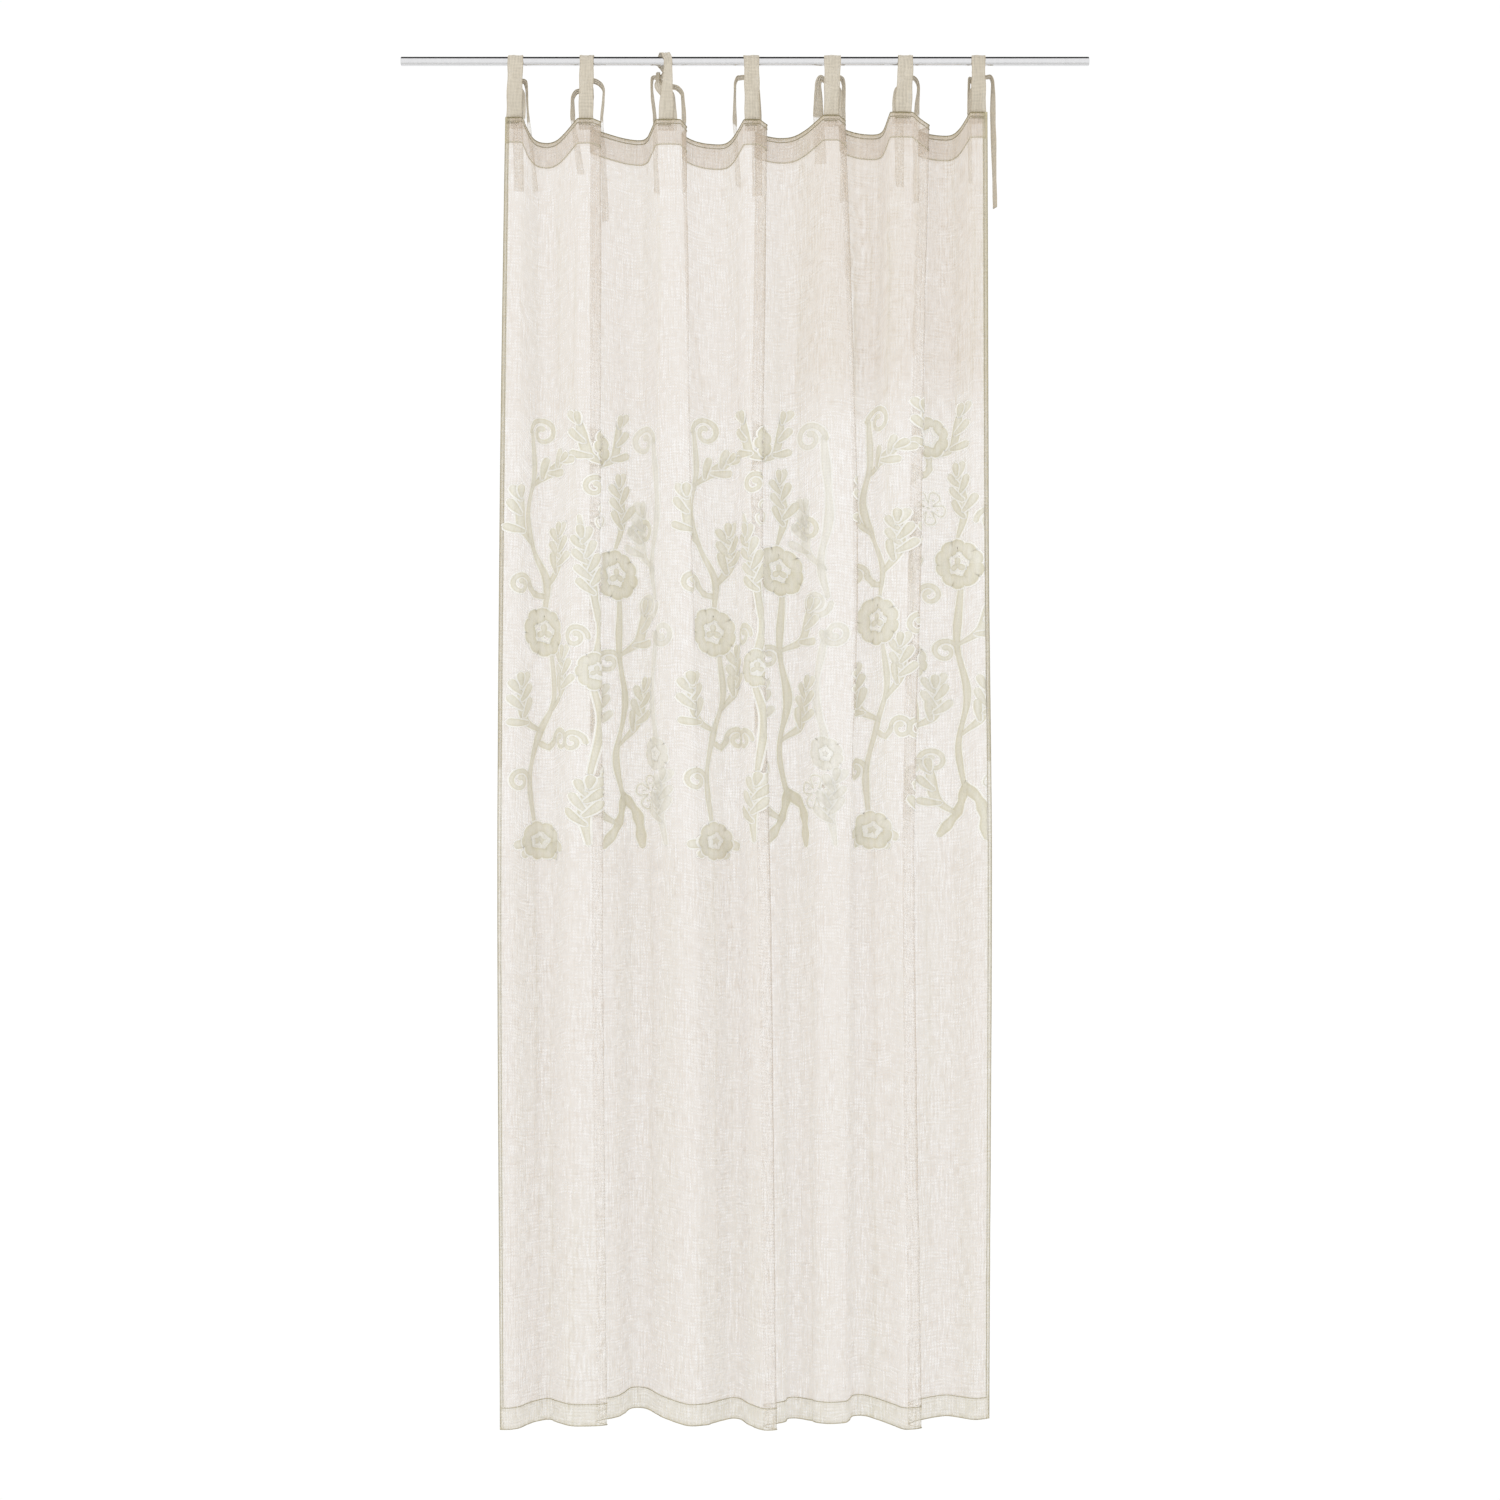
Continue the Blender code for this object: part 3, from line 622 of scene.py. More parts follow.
def gauze_group():
    group, given, result = group_of(
        "gauze",
        {"Vector": "Vector", "Cover": "Float", "Tone": "Float", "Crinkle": "Float",
         "Slub": "Float", "Colour": "Color", "Dense Colour": "Color"},
        {"Cover": "Float", "Colour": "Color", "Height": "Float"},
    )
    nodes, vector = group.nodes, given["Vector"]
    upright = marks(nodes, vector, "X", 230, 40, 5.2 * MM, (26, 7), 4.0, -1.4)
    cross = marks(nodes, vector, "Y", 50, 230, 5.8 * MM, (13, 24), 5.0, -1.9)
    weave = maths(nodes, "MAXIMUM", threads(nodes, vector, "X", 1.15 * MM, 2.0),
                  threads(nodes, vector, "Y", 1.35 * MM, 2.5))
    cover = maths(nodes, "MULTIPLY_ADD", weave, 0.16, -0.135)
    cover = maths(nodes, "MULTIPLY_ADD", upright, given["Crinkle"], cover)
    cover = maths(nodes, "MULTIPLY_ADD", cross, given["Slub"], cover)
    cover = maths(nodes, "ADD", cover, given["Cover"], clamp=True)
    tint = stretched_noise(nodes, vector, (15, 1.6, 1), 2.0)
    tint = maths(nodes, "MULTIPLY_ADD", tint, 0.6, -0.3)
    mix = nodes.new("ShaderNodeMix")
    mix.data_type = "RGBA"
    filled(mix, {"Factor": maths(nodes, "ADD", tint, given["Tone"], clamp=True),
                 "A": given["Colour"], "B": given["Dense Colour"]})
    height = maths(nodes, "MULTIPLY_ADD", cross, 0.8, upright)
    height = maths(nodes, "MULTIPLY_ADD", weave, 0.12, height)
    filled(result, {"Cover": cover, "Colour": mix.outputs["Result"], "Height": height})
    return group


GAUZE = gauze_group()
print("gauze group nodes:", len(GAUZE.nodes))

# %% Cloth materials
BUMP_DISTANCE = 0.6 * MM
CLOTH_ROUGHNESS = 0.92
CLOTH_SHINE = 0.15


def cloth_material(name, crinkle, slub, colour, dense_colour, bump):
    """Gauze whose cover and tone are painted on the mesh."""
    material, nodes, shader = new_material(name)
    uv = nodes.new("ShaderNodeUVMap")
    uv.uv_map = "cloth"
    painted = {}
    for attribute in ("cover", "tone"):
        node = nodes.new("ShaderNodeAttribute")
        node.attribute_name = attribute
        painted[attribute.capitalize()] = node.outputs["Fac"]
    gauze = nodes.new("ShaderNodeGroup")
    gauze.node_tree = GAUZE
    filled(gauze, {"Vector": uv.outputs[0], "Crinkle": crinkle, "Slub": slub,
                   "Colour": (*colour, 1), "Dense Colour": (*dense_colour, 1), **painted})
    lift = filled(nodes.new("ShaderNodeBump"), {
        "Height": gauze.outputs["Height"], "Strength": bump, "Distance": BUMP_DISTANCE})
    filled(shader, {"Normal": lift.outputs[0], "Base Color": gauze.outputs["Colour"],
                    "Alpha": gauze.outputs["Cover"], "Roughness": CLOTH_ROUGHNESS,
                    "Specular IOR Level": CLOTH_SHINE})
    return material


VOILE = cloth_material("voile", 0.25, 0.17, (0.66, 0.565, 0.465), (0.59, 0.53, 0.36), 0.5)
TIE_CLOTH = cloth_material(
    "tie_cloth", 0.22, 0.16, (0.71, 0.65, 0.54), (0.487, 0.41, 0.288), 0.7)
EMBROIDERY = cloth_material(
    "embroidery", 0.10, 0.10, (0.97, 0.955, 0.905), (0.745, 0.705, 0.555), 0.5)
THREAD = cloth_material("thread", 0.10, 0.10, (0.615, 0.565, 0.42), (0.29, 0.24, 0.135), 0.4)
print("materials:", VOILE.name, TIE_CLOTH.name, EMBROIDERY.name, THREAD.name)

# %% [markdown]
# ## The panel
#
# The panel is one sheet. A flat grid of cells is made, its edges turned in as a sewer
# would, and every point is then hung. A cloth simulation could drape it too, but it
# would not stop at the folds of the solid. The grid has extra columns and rows where
# the edges turn and where the seams draw the cloth together.

# %% Columns and rows
def steps_with(edges, start, end, step):
    """Even steps from start to end, with the places in edges added."""
    count = round((end - start) / step)
    even = np.linspace(start, end, count + 1)
    even = even[np.min(np.abs(even[:, None] - np.array(edges)[None]), axis=1) > 0.4 * step]
    return np.sort(np.concatenate([even, edges]))


COLUMN_STEP = 5.2 * MM
ROW_STEP = 7.8 * MM
EDGE_SEAM = 0.7 * MM
HEADING_SEAM = 8 * MM
SEAM_INSIDE = 1.5 * MM
BESIDE_SEAM = 1 * MM
RIDGE_INSIDE = 3 * MM
edge_columns = np.array([-SIDE_HEM_WIDTH, -TURN_ROUND, 0, TURN_ROUND, SIDE_HEM_WIDTH - SEAM_INSIDE])
COLUMNS = steps_with(np.concatenate([edge_columns, WIDTH - edge_columns]),
                     -SIDE_HEM_WIDTH, WIDTH + SIDE_HEM_WIDTH, COLUMN_STEP)
top_rows = [-HEADING_DEPTH, -TURN_ROUND, 0, TURN_ROUND, HEADING_SEAM - BESIDE_SEAM, HEADING_SEAM,
            HEADING_SEAM + BESIDE_SEAM, HEADING_DEPTH - RIDGE_INSIDE,
            HEADING_DEPTH - SEAM_INSIDE, HEADING_DEPTH]
hem_rows = [LENGTH - HEM_DEPTH, LENGTH - HEM_DEPTH + SEAM_INSIDE, LENGTH - HEM_DEPTH + RIDGE_INSIDE,
            LENGTH - TURN_ROUND, LENGTH, LENGTH + TURN_ROUND, LENGTH + HEM_DEPTH]
ROWS = steps_with(top_rows + hem_rows, -HEADING_DEPTH, LENGTH + HEM_DEPTH, ROW_STEP)

print("columns:", len(COLUMNS), "rows:", len(ROWS))

# %% [markdown]
# How densely the threads lie is painted on the panel's points. Cloth that is seen at a
# slant covers more, and so do the seams and the edges. The layers that a tuck hides
# cover less. A value on each point is enough for that, because it changes slowly.

# %% Painted cover and tone
SINGLE_COVER = 0.485
SLANT_COVER = 0.55
SLANT_TONE = 1.5
TURNED_IN_COVER = 0.45
TURNED_UP_COVER = 0.06
HEMMED_TONE = 0.6
TUCK_COVERS_TOP = (0.46, 0.15, 0.30)
TUCK_COVERS_LOW = (0.38, 0.02, 0.21)
TUCK_OPENS = (-0.35, -0.70)
# The gauze covers more at the upper right and less in the flower band
UPPER_RIGHT_COVER = 0.14
UPPER_RIGHT_FROM = (0.02, -0.66)
UPPER_RIGHT_FADE = (0.14, 0.15)
BAND_COVER = -0.06
BAND_REACH = (-0.60, -1.43)
BAND_REACH_FADE = 0.08
BEYOND_EDGE = 0.5 * MM
CREASED_COVER = 0.07
# Painted shade: the tone is darker along the creases.
CREASE_SHADE_TONE = 0.20
EDGE_COVER = 0.22
SEAM_COVER = 0.12
# Tone of the edge and seam marks: partly their layers of cloth, partly painted shade of the folded
# edges.
SEAM_LAYERS_AND_SHADE_TONE = 2.2
SEAM_MARK = 1.6 * MM
SLANT_REACH = 4 * MM
HIDDEN_SHARE = 0.2


def painted_tables():
    """Cover and tone, from 0 to 1, for all rows and columns. Light goes on through the
    layers of real gauze, so the layers of a tuck are given thinner thread."""
    v, s = np.meshgrid(ROWS, COLUMNS, indexing="ij")
    left, right = (hang(s.ravel() + step, v.ravel()) for step in (-SLANT_REACH, SLANT_REACH))
    facing = ((right - left)[:, 0] / np.linalg.norm(right - left, axis=1)).reshape(s.shape)
    slant = (1 - np.clip(np.abs(facing), 0.75, 1)) ** 2
    x, height = left[:, 0].reshape(s.shape), left[:, 2].reshape(s.shape)
    # More cover at the upper right, less in the flower band.
    upper_right = (smooth_step((x - UPPER_RIGHT_FROM[0]) / UPPER_RIGHT_FADE[0])
              * smooth_step((height - UPPER_RIGHT_FROM[1]) / UPPER_RIGHT_FADE[1]))
    in_band = (smooth_step((BAND_REACH[0] - height) / BAND_REACH_FADE)
                 * smooth_step((height - BAND_REACH[1]) / BAND_REACH_FADE))
    creased = crease_marks(s, height)
    cover = (SINGLE_COVER + SLANT_COVER * slant + UPPER_RIGHT_COVER * upper_right
             + BAND_COVER * in_band + CREASED_COVER * creased)

    lower = smooth_step((TUCK_OPENS[0] - height) / (TUCK_OPENS[0] - TUCK_OPENS[1]))
    place = np.interp(s, BAND_LENGTHS, PLACES)
    top, low, tuck, hidden = (looked_up(table, place, height) for table in (
        np.array(TUCK_COVERS_TOP)[TUCK_LAYER], np.array(TUCK_COVERS_LOW)[TUCK_LAYER],
        TABLE_TUCK, TABLE_HIDDEN))
    cover = cover + (top + (low - top) * lower - cover) * tuck
    turned = np.maximum(np.maximum(-s, s - WIDTH), np.maximum(-v, v - LENGTH)) > BEYOND_EDGE
    turned_cover = np.where(v > LENGTH / 2, TURNED_UP_COVER, TURNED_IN_COVER)
    cover = np.where(turned, turned_cover * (1 - (1 - HIDDEN_SHARE) * hidden * lower), cover)
    hemmed = (s < SIDE_HEM_WIDTH) | (s > WIDTH - SIDE_HEM_WIDTH) | (v > LENGTH - HEM_DEPTH)
    tone = SLANT_TONE * slant + CREASE_SHADE_TONE * creased + HEMMED_TONE * hemmed
    # Edges and seams are painted denser and darker, partly for their layers of cloth and partly as
    # painted shade of the folded edges.
    for value, seam, more in (
        (s, 0, EDGE_COVER), (s, WIDTH, EDGE_COVER), (v, 0, 2 * EDGE_COVER), (v, LENGTH, EDGE_COVER),
        (v, HEADING_SEAM, SEAM_COVER), (v, HEADING_DEPTH - SEAM_INSIDE, SEAM_COVER),
        (v, LENGTH - HEM_DEPTH + SEAM_INSIDE, SEAM_COVER),
    ):
        mark = more * np.exp(-((value - seam) / SEAM_MARK) ** 2)
        cover, tone = cover + mark, tone + SEAM_LAYERS_AND_SHADE_TONE * mark
    return {"cover": cover, "tone": tone}


PAINTED = painted_tables()
print("mean cover:", round(float(PAINTED["cover"].mean()), 3))

# %% Panel
def flat_places(mesh):
    """Where the points of a mesh are, as three arrays."""
    flat = np.zeros(3 * len(mesh.vertices), np.float32)
    mesh.vertices.foreach_get("co", flat)
    return flat.reshape(-1, 3).T


def laid_object(mesh, points, material):
    """The mesh as a smooth object, with its points moved to these."""
    mesh.vertices.foreach_set("co", points.astype(np.float32).ravel())
    mesh.materials.append(material)
    mesh.shade_smooth()
    mesh.update()
    return made_object(mesh.name, mesh)


def grid_object(name, across, along, place, uv, material, painted):
    """A grid of across by along cells. place and uv take arrays of columns and rows, and
    painted holds a value for each row and column."""
    bm = bmesh.new()
    bmesh.ops.create_grid(bm, x_segments=across, y_segments=along, size=0.5)
    mesh = made_mesh(name, bm)
    x, y, _ = flat_places(mesh)
    columns = np.rint((x + 0.5) * across).astype(int)
    rows = np.rint((0.5 - y) * along).astype(int)
    corners = np.zeros(len(mesh.loops), np.int32)
    mesh.loops.foreach_get("vertex_index", corners)
    layer = mesh.uv_layers.new(name="cloth")
    layer.uv.foreach_set("vector", uv(columns, rows)[corners].astype(np.float32).ravel())
    for attribute, values in painted.items():
        made = mesh.attributes.new(attribute, "FLOAT", "POINT")
        made.data.foreach_set("value", values[rows, columns].astype(np.float32))
    return laid_object(mesh, place(columns, rows), material)


panel = grid_object(
    "curtain_panel", len(COLUMNS) - 1, len(ROWS) - 1,
    lambda columns, rows: hang(COLUMNS[columns], ROWS[rows]),
    lambda columns, rows: np.stack([COLUMNS[columns], -ROWS[rows]], axis=-1),
    VOILE, PAINTED,
)
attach(panel, "root")
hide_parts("panel")
print("panel cells:", len(panel.data.polygons))

# %% [markdown]
# ## The ties
#
# Each tab is a pair of ties, sewn behind the heading. The wide front tie goes up and over
# the rod, and behind the rod the two are knotted once; their loose ends hang down
# behind the cloth. The stations of the way are those of the solids. Between them the
# ribbon is finer here: it is creased lengthwise, it is gathered into pleats in the knot,
# and its loose ends have curled.

# %% Tables of the ties
Tab = namedtuple("Tab", "side x_rod w_rod x_head w_head back_aside top loose aside knot")
TABS = [Tab(side, *(MM * value for value in row)) for side, *row in (
    (-1, -409, 27, -412, 28, 13, -99, 1, 0, -25),
    (1, -282, 25, -284, 26, 1, -101, 1, 0, -30),
    (-1, -137, 15, -141, 27, 14, -103, 6, -14, -25),
    (-1, 12, 27, 13, 27, 7, -103, 1, -2, -25),
    (1, 156, 29, 154, 26, 11, -95, 1, 0, -25),
    (1, 286, 27, 283, 30, -12, -90, 1, 1, -25),
    (1, 416, 24, 417, 27, -9, -90, 1, 1, -25),
)]
End = namedtuple("End", "x_out z_out x_head x_end z_end width turn_head turn_end")
ENDS = [[End(*(MM * value for value in row[:6]), *row[6:]) for row in pair] for pair in (
    ((-421, -44, -408, -405, -228, 18, 10, 30), (-391, -32, -389, -378, -224, 18, 72, 60)),
    ((-309, -50, -309, -295, -197, 18, 66, 55), (-253, -35, -259, -250, -277, 20, 72, 50)),
    ((-167, -24, -161, -158, -231, 18, 70, 62), (-112, -42, -111, -109, -227, 18, 66, 66)),
    ((-18, -24, -18, -13, -216, 20, 72, 68), (22, -46, 21, 22, -235, 18, 12, 20)),
    ((131, -24, 131, 136, -179, 20, 25, 8), (177, -26, 177, 175, -245, 18, 66, 58)),
    ((272, -46, 276, 277, -220, 18, 20, 30), (311, -28, 310, 306, -247, 18, 62, 58)),
    ((401, -26, 401, 405, -215, 18, 64, 60), (444, -22, 443, 448, -258, 16, 56, 74)),
)]
print("pairs of ties:", len(TABS), "loose ends:", sum(map(len, ENDS)))

# %% [markdown]
# A loose end comes out of the knot to its own side, turns its edge or its face to the
# front and hangs straight down. It has to clear the cloth, so the rearmost layer within
# its reach is looked up at each height.

# %% Loose ends
END_HANG_DEPTH = 15 * MM
END_CLEARANCE = 3 * MM
END_OF_PANEL = 440 * MM
END_SHARES = (0.0, 0.35, 0.7, 1.0)
BACK, UP = np.array(((0.0, 1.0, 0.0), (0.0, 0.0, 1.0)))
FRONT = -BACK
Station = namedtuple("Station", "x y z width facing")


def rearmost_layer(x, height, reach):
    """The depth of the rearmost cloth within reach of x."""
    xs, ys = section(PLACES, height)
    near = np.abs(xs - x) < max(reach, np.abs(xs - x).min() + MM)
    return ys[near].max()


def turned_facing(side, degrees):
    """The face of a hanging end, turned from the back towards its own side."""
    angle = math.radians(degrees)
    return np.array((side * math.sin(angle), math.cos(angle), 0.0))


def loose_end(end, side, knot_x, knot_y, knot_z, heading_top):
    """Stations from the knot, out to the side and down to the free end."""
    first_x = knot_x + side * 11 * MM
    stations = [
        Station(first_x, knot_y, min(knot_z, end.z_out + 4 * MM), 0.45 * end.width,
                BACK + 0.6 * UP),
        Station(0.35 * first_x + 0.65 * end.x_out, END_HANG_DEPTH, end.z_out - 1 * MM,
                0.5 * end.width, turned_facing(side, 0.6 * end.turn_head) + 0.4 * UP),
        Station(end.x_out, END_HANG_DEPTH, end.z_out - 14 * MM, 0.6 * end.width,
                turned_facing(side, end.turn_head)),
    ]
    ways = ((end.x_head, end.x_end), (heading_top + 6 * MM, end.z_end),
            (end.turn_head, end.turn_end))
    for share in END_SHARES:
        x, z, turn = (start + (last - start) * share for start, last in ways)
        facing = turned_facing(side, turn)
        beside = 0.5 * end.width * facing[1] + 4 * MM
        behind = 0.5 * end.width * abs(facing[0]) + END_CLEARANCE
        over_panel = abs(x) < END_OF_PANEL
        cloth = rearmost_layer(x, min(z, heading_top), beside) if over_panel else 0.0
        stations.append(Station(x, max(END_HANG_DEPTH, cloth + behind), z, end.width, facing))
    return stations


print("stations of a loose end:", len(loose_end(ENDS[0][0], -1, 0, 0, 0, TABS[0].top)))

# %% [markdown]
# The sewn end lies flat behind the heading. From there the front tie goes round the rod
# in steps of 36 degrees, and the back tie goes straight up behind the rod to the knot.

# %% Front and back ties
BACK_SEWN_SHARE = 0.5
BACK_WIDTH_SHARE = 0.92
ROD_GAP = 0.8 * MM
KNOT_DEPTH = 12 * MM
KNOT_WIDTH = 7.5 * MM
BACK_KNOT_WIDTH = 0.9 * KNOT_WIDTH
ROUND_ROD = ROD_RADIUS + TIE_THICKNESS / 2 + ROD_GAP


def sewn_end(tab, aside, width, gap):
    """The first stations of a tie, sewn flat behind the heading."""
    sewn_aside = tab.back_aside * BACK_SEWN_SHARE
    reach = (tab.w_head + abs(sewn_aside)) / 2
    middle = tab.x_head + sewn_aside / 2
    places = np.linspace(middle - reach, middle + reach, 13)
    x, stations = tab.x_head + aside, []
    for height in (tab.top - SEWN_LENGTH, tab.top + 1 * MM):
        depths = np.array([foremost(place, min(height, tab.top - 2 * MM))[1] for place in places])
        slope = (depths[-1] - depths[0]) / (2 * reach)
        y = (depths - slope * places).max() + slope * x + gap
        stations.append(Station(x, y, height, width, np.array((slope, -1.0, 0.0))))
    return stations


def front_tie(tab, ends):
    """From the back of the heading up, over the rod and into the knot."""
    knot_x = tab.x_rod + tab.aside
    gap = HEM_THICKNESS / 2 + SEAM_GAP + TIE_THICKNESS / 2
    way = sewn_end(tab, 0, tab.w_head, gap) + [
        Station((tab.x_head + tab.x_rod) / 2, -0.6 * ROUND_ROD, tab.top / 2,
                (tab.w_rod + tab.w_head) / 2, FRONT),
        Station(tab.x_rod, -ROUND_ROD, -10 * MM, tab.w_rod, FRONT),
    ]
    for degrees in (0, 36, 72, 108, 144, 180):
        angle = math.radians(degrees)
        way.append(Station(
            tab.x_rod + tab.aside * degrees / 180, -ROUND_ROD * math.cos(angle),
            (ROUND_ROD + tab.loose) * math.sin(angle), tab.w_rod,
            math.sin(angle) * UP - math.cos(angle) * BACK))
    way += [Station(knot_x + tab.side * aside * MM, y * MM, tab.knot + above * MM, width, BACK)
            for aside, y, above, width in (
                (-4, 10.3, 15, 0.6 * tab.w_rod), (-7, 11.4, 9, KNOT_WIDTH),
                (-3, 12.0, 2, KNOT_WIDTH), (4, 12.0, 0, KNOT_WIDTH))]
    return way + loose_end(ends[tab.side > 0], tab.side, knot_x, KNOT_DEPTH, tab.knot, tab.top)


def back_tie(tab, ends):
    """From the back of the heading up, over the front tie and down behind it."""
    side, knot_x, wide = -tab.side, tab.x_rod + tab.aside, BACK_WIDTH_SHARE * tab.w_head
    crossing_x = knot_x - side * 4.5 * MM
    gap = HEM_THICKNESS / 2 + 2 * SEAM_GAP + 1.5 * TIE_THICKNESS
    way = sewn_end(tab, tab.back_aside * BACK_SEWN_SHARE, wide, gap) + [
        Station((2 * (tab.x_head + tab.back_aside) + crossing_x) / 3, 5 * MM, 0.6 * tab.top,
                0.9 * wide, FRONT),
    ]
    way += [Station(crossing_x, y * MM, tab.knot + above * MM, width, facing)
            for y, above, width, facing in (
                (6.4, -14, 0.5 * wide, FRONT), (7.0, -5, BACK_KNOT_WIDTH, FRONT),
                (7.0, 3, BACK_KNOT_WIDTH, FRONT), (12.0, 9, BACK_KNOT_WIDTH, UP),
                (17.2, 0, BACK_KNOT_WIDTH, BACK))]
    way.append(Station(knot_x + side * 4 * MM, 18 * MM, tab.knot - 8 * MM, KNOT_WIDTH, BACK))
    return way + loose_end(ends[side > 0], side, knot_x, 17.5 * MM, tab.knot - 5 * MM, tab.top)


WAYS = [(tab, front_tie(tab, ends), back_tie(tab, ends)) for tab, ends in zip(TABS, ENDS)]
print("stations of a pair:", len(WAYS[0][1]), "and", len(WAYS[0][2]))

# %% [markdown]
# A ribbon is a grid of narrow cells that follows the stations with its middle and turns
# its face as they say. Sine waves along and across it make its pleats, creases and curl,
# and a Solidify modifier gives it the thickness of folded gauze.

# %% A ribbon along its way
TIE_FINENESS = 9
TIE_CLOTH_THICKNESS = 0.8 * MM
TIE_COLUMNS = np.array([-50, -47, -41, -34, -25, -15, -5, 5, 15, 25, 34, 41, 47, 50]) / 100
TIE_NATURAL_WIDTH = 27 * MM
SHOWN_TIE_COVER = 0.84
HIDDEN_TIE_COVER = 0.24
PLEATS = 2.7
PLEAT_HEIGHT = 1.15 * MM
CREASE_HEIGHT = 0.35 * MM
CRINKLE_HEIGHT = 0.22 * MM
CURL_STARTS_OVER = 30 * MM
# Width of the ribbon's darker, denser sides: painted shade of its folded edges.
TIE_SHADED_EDGE = 1.1 * MM


def unit_rows(vectors):
    return vectors / np.linalg.norm(vectors, axis=1, keepdims=True)


def ribbon(name, way, heading_top, seed):
    """A creased and curled ribbon laid along its stations."""
    middles = np.array([(s.x, s.y, s.z) for s in way])
    along = np.concatenate([[0], np.cumsum(np.linalg.norm(np.diff(middles, axis=0), axis=1))])
    steps = np.arange((len(way) - 1) * TIE_FINENESS + 1) / TIE_FINENESS
    at = np.interp(steps, np.arange(len(way)), along)

    def through(rows):
        columns = np.transpose(rows)
        return np.stack([smooth_through(along, values, at) for values in columns], axis=1)

    path = through(middles)
    widths = through([[s.width] for s in way])
    tangents = unit_rows(np.gradient(path, axis=0))
    sideways = unit_rows(np.cross(tangents, unit_rows(through([s.facing for s in way]))))
    outward = np.cross(sideways, tangents)

    c = TIE_COLUMNS[None, :]
    a = at[:, None]
    gathered = smooth_step((0.72 * TIE_NATURAL_WIDTH - widths) / (0.4 * TIE_NATURAL_WIDTH))
    loose = smooth_step((a - along[-5]) / CURL_STARTS_OVER)
    phase = np.random.default_rng(seed).uniform(0, 6.28, 6)
    pleat = np.sin(2 * math.pi * PLEATS * c + phase[0])
    crease = CREASE_HEIGHT * np.sin(2 * math.pi * 1.3 * c + 25 * a + phase[1])
    cupped = 2.2 * np.sin(11 * a + phase[2]) * (4 * c * c - 0.4)
    curl = loose * MM * (cupped + 0.9 * np.sin(60 * a + phase[3]) * c)
    crinkle = np.sin(2 * math.pi * 3.4 * c + 90 * a + phase[4]) * np.sin(210 * a + phase[5])
    flat_relief = crease + CRINKLE_HEIGHT * crinkle
    offset = PLEAT_HEIGHT * gathered * pleat + (1 - gathered) * flat_relief + curl
    uneven = 1 + 0.035 * np.sin(130 * a + phase[1]) * (1 - gathered)
    points = (path[:, None, :] + sideways[:, None, :] * (widths * uneven * c)[..., None]
              + outward[:, None, :] * offset[..., None])
    # Behind the cloth a tie covers less, which stands in for the light that goes on through the
    # layers. Along both sides the ribbon is painted denser and darker as shade of its folded edges,
    # and in a knot its tone follows the pleats as painted shade in them.
    behind = ((path[:, 2] < heading_top) & (np.abs(path[:, 0]) < END_OF_PANEL))[:, None] * 1.0
    edge = np.exp(-((0.5 - np.abs(c)) * widths / TIE_SHADED_EDGE) ** 2)
    cover = SHOWN_TIE_COVER + (HIDDEN_TIE_COVER - SHOWN_TIE_COVER) * behind + 0.12 * edge
    tone = 0.66 * edge + 0.12 * gathered * (0.5 + 0.5 * pleat)
    made = grid_object(
        name, len(TIE_COLUMNS) - 1, len(at) - 1, lambda columns, rows: points[rows, columns],
        lambda columns, rows: np.stack([TIE_COLUMNS[columns] * TIE_NATURAL_WIDTH + 0.1 * seed,
                                        -at[rows]], axis=-1),
        TIE_CLOTH, {"cover": cover, "tone": tone},
    )
    thick = made.modifiers.new("thickness", "SOLIDIFY")
    thick.thickness = TIE_CLOTH_THICKNESS
    thick.offset = 0
    return made, along[-1]


print("columns of a ribbon:", len(TIE_COLUMNS))

# %% All the ribbons
for number, (tab, front, back) in enumerate(WAYS, start=1):
    for which, way, on in (("front", front, "rod"), ("back", back, f"front_ribbon_{number}")):
        tie, length = ribbon(f"{which}_ribbon_{number}", way, tab.top,
                             number + (10 if which == "back" else 0))
        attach(tie, "root")
        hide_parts(f"tie_{which}_{number}")
print("ribbons:", 2 * len(WAYS), "last is", round(length, 3), "m long")

# %% [markdown]
# ## Needlework
#
# Everything sewn on the curtain is drawn flat first, with x for s, y for v and z for how
# far it stands off the cloth, and hung at the end together with its thread direction and
# tone. It could be painted on the panel, but real needlework stands up and has edges.

# %% Flat work and how it is hung
def flat_work():
    bm = bmesh.new()
    bm.loops.layers.uv.new("cloth")
    for layer in ("cover", "tone"):
        bm.verts.layers.float.new(layer)
    return bm


def layers_of(bm):
    """The thread direction, the cover and the tone of flat work."""
    painted = bm.verts.layers.float
    return bm.loops.layers.uv["cloth"], painted["cover"], painted["tone"]


def hang_work(bm, name, material):
    """Hangs a flat drawing on the cloth and makes it a piece. Like the cloth, it covers
    less in the layers that a tuck hides."""
    mesh = made_mesh(name, bm)
    s, v, h = flat_places(mesh).astype(float)
    points = hang(s, v, h)
    cover = np.zeros(len(s), np.float32)
    painted = mesh.attributes["cover"].data
    painted.foreach_get("value", cover)
    hidden = looked_up(TABLE_HIDDEN, np.interp(s, BAND_LENGTHS, PLACES), points[:, 2])
    cover = cover * (1 - (1 - HIDDEN_SHARE) * hidden)
    painted.foreach_set("value", cover.astype(np.float32))
    piece = laid_object(mesh, points, material)
    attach(piece, "root")
    return piece


print("share of the cover left in a hidden layer:", HIDDEN_SHARE)

# %% [markdown]
# The seams are rows of machine stitches. Each stitch is a small bar that lies on the
# cloth, a box of six faces, because there are thousands of them. The thread is darker
# where a seam holds several layers, and darkest along the top edge: the dark thread is
# partly its own colour and partly painted shade of the folded edges.

# %% Machine stitches
STITCH_PITCH = 3.6 * MM
STITCH_LENGTH = 3.1 * MM
STITCH_WIDTH = 1.3 * MM
STITCH_HEIGHT = 0.7 * MM
STITCH_LIFT = 0.35 * STITCH_HEIGHT
TAB_SEAMS = (2 * MM, 11 * MM)
TAB_SEAM_LEVEL = 6 * MM
INSIDE_EDGE = 3 * MM


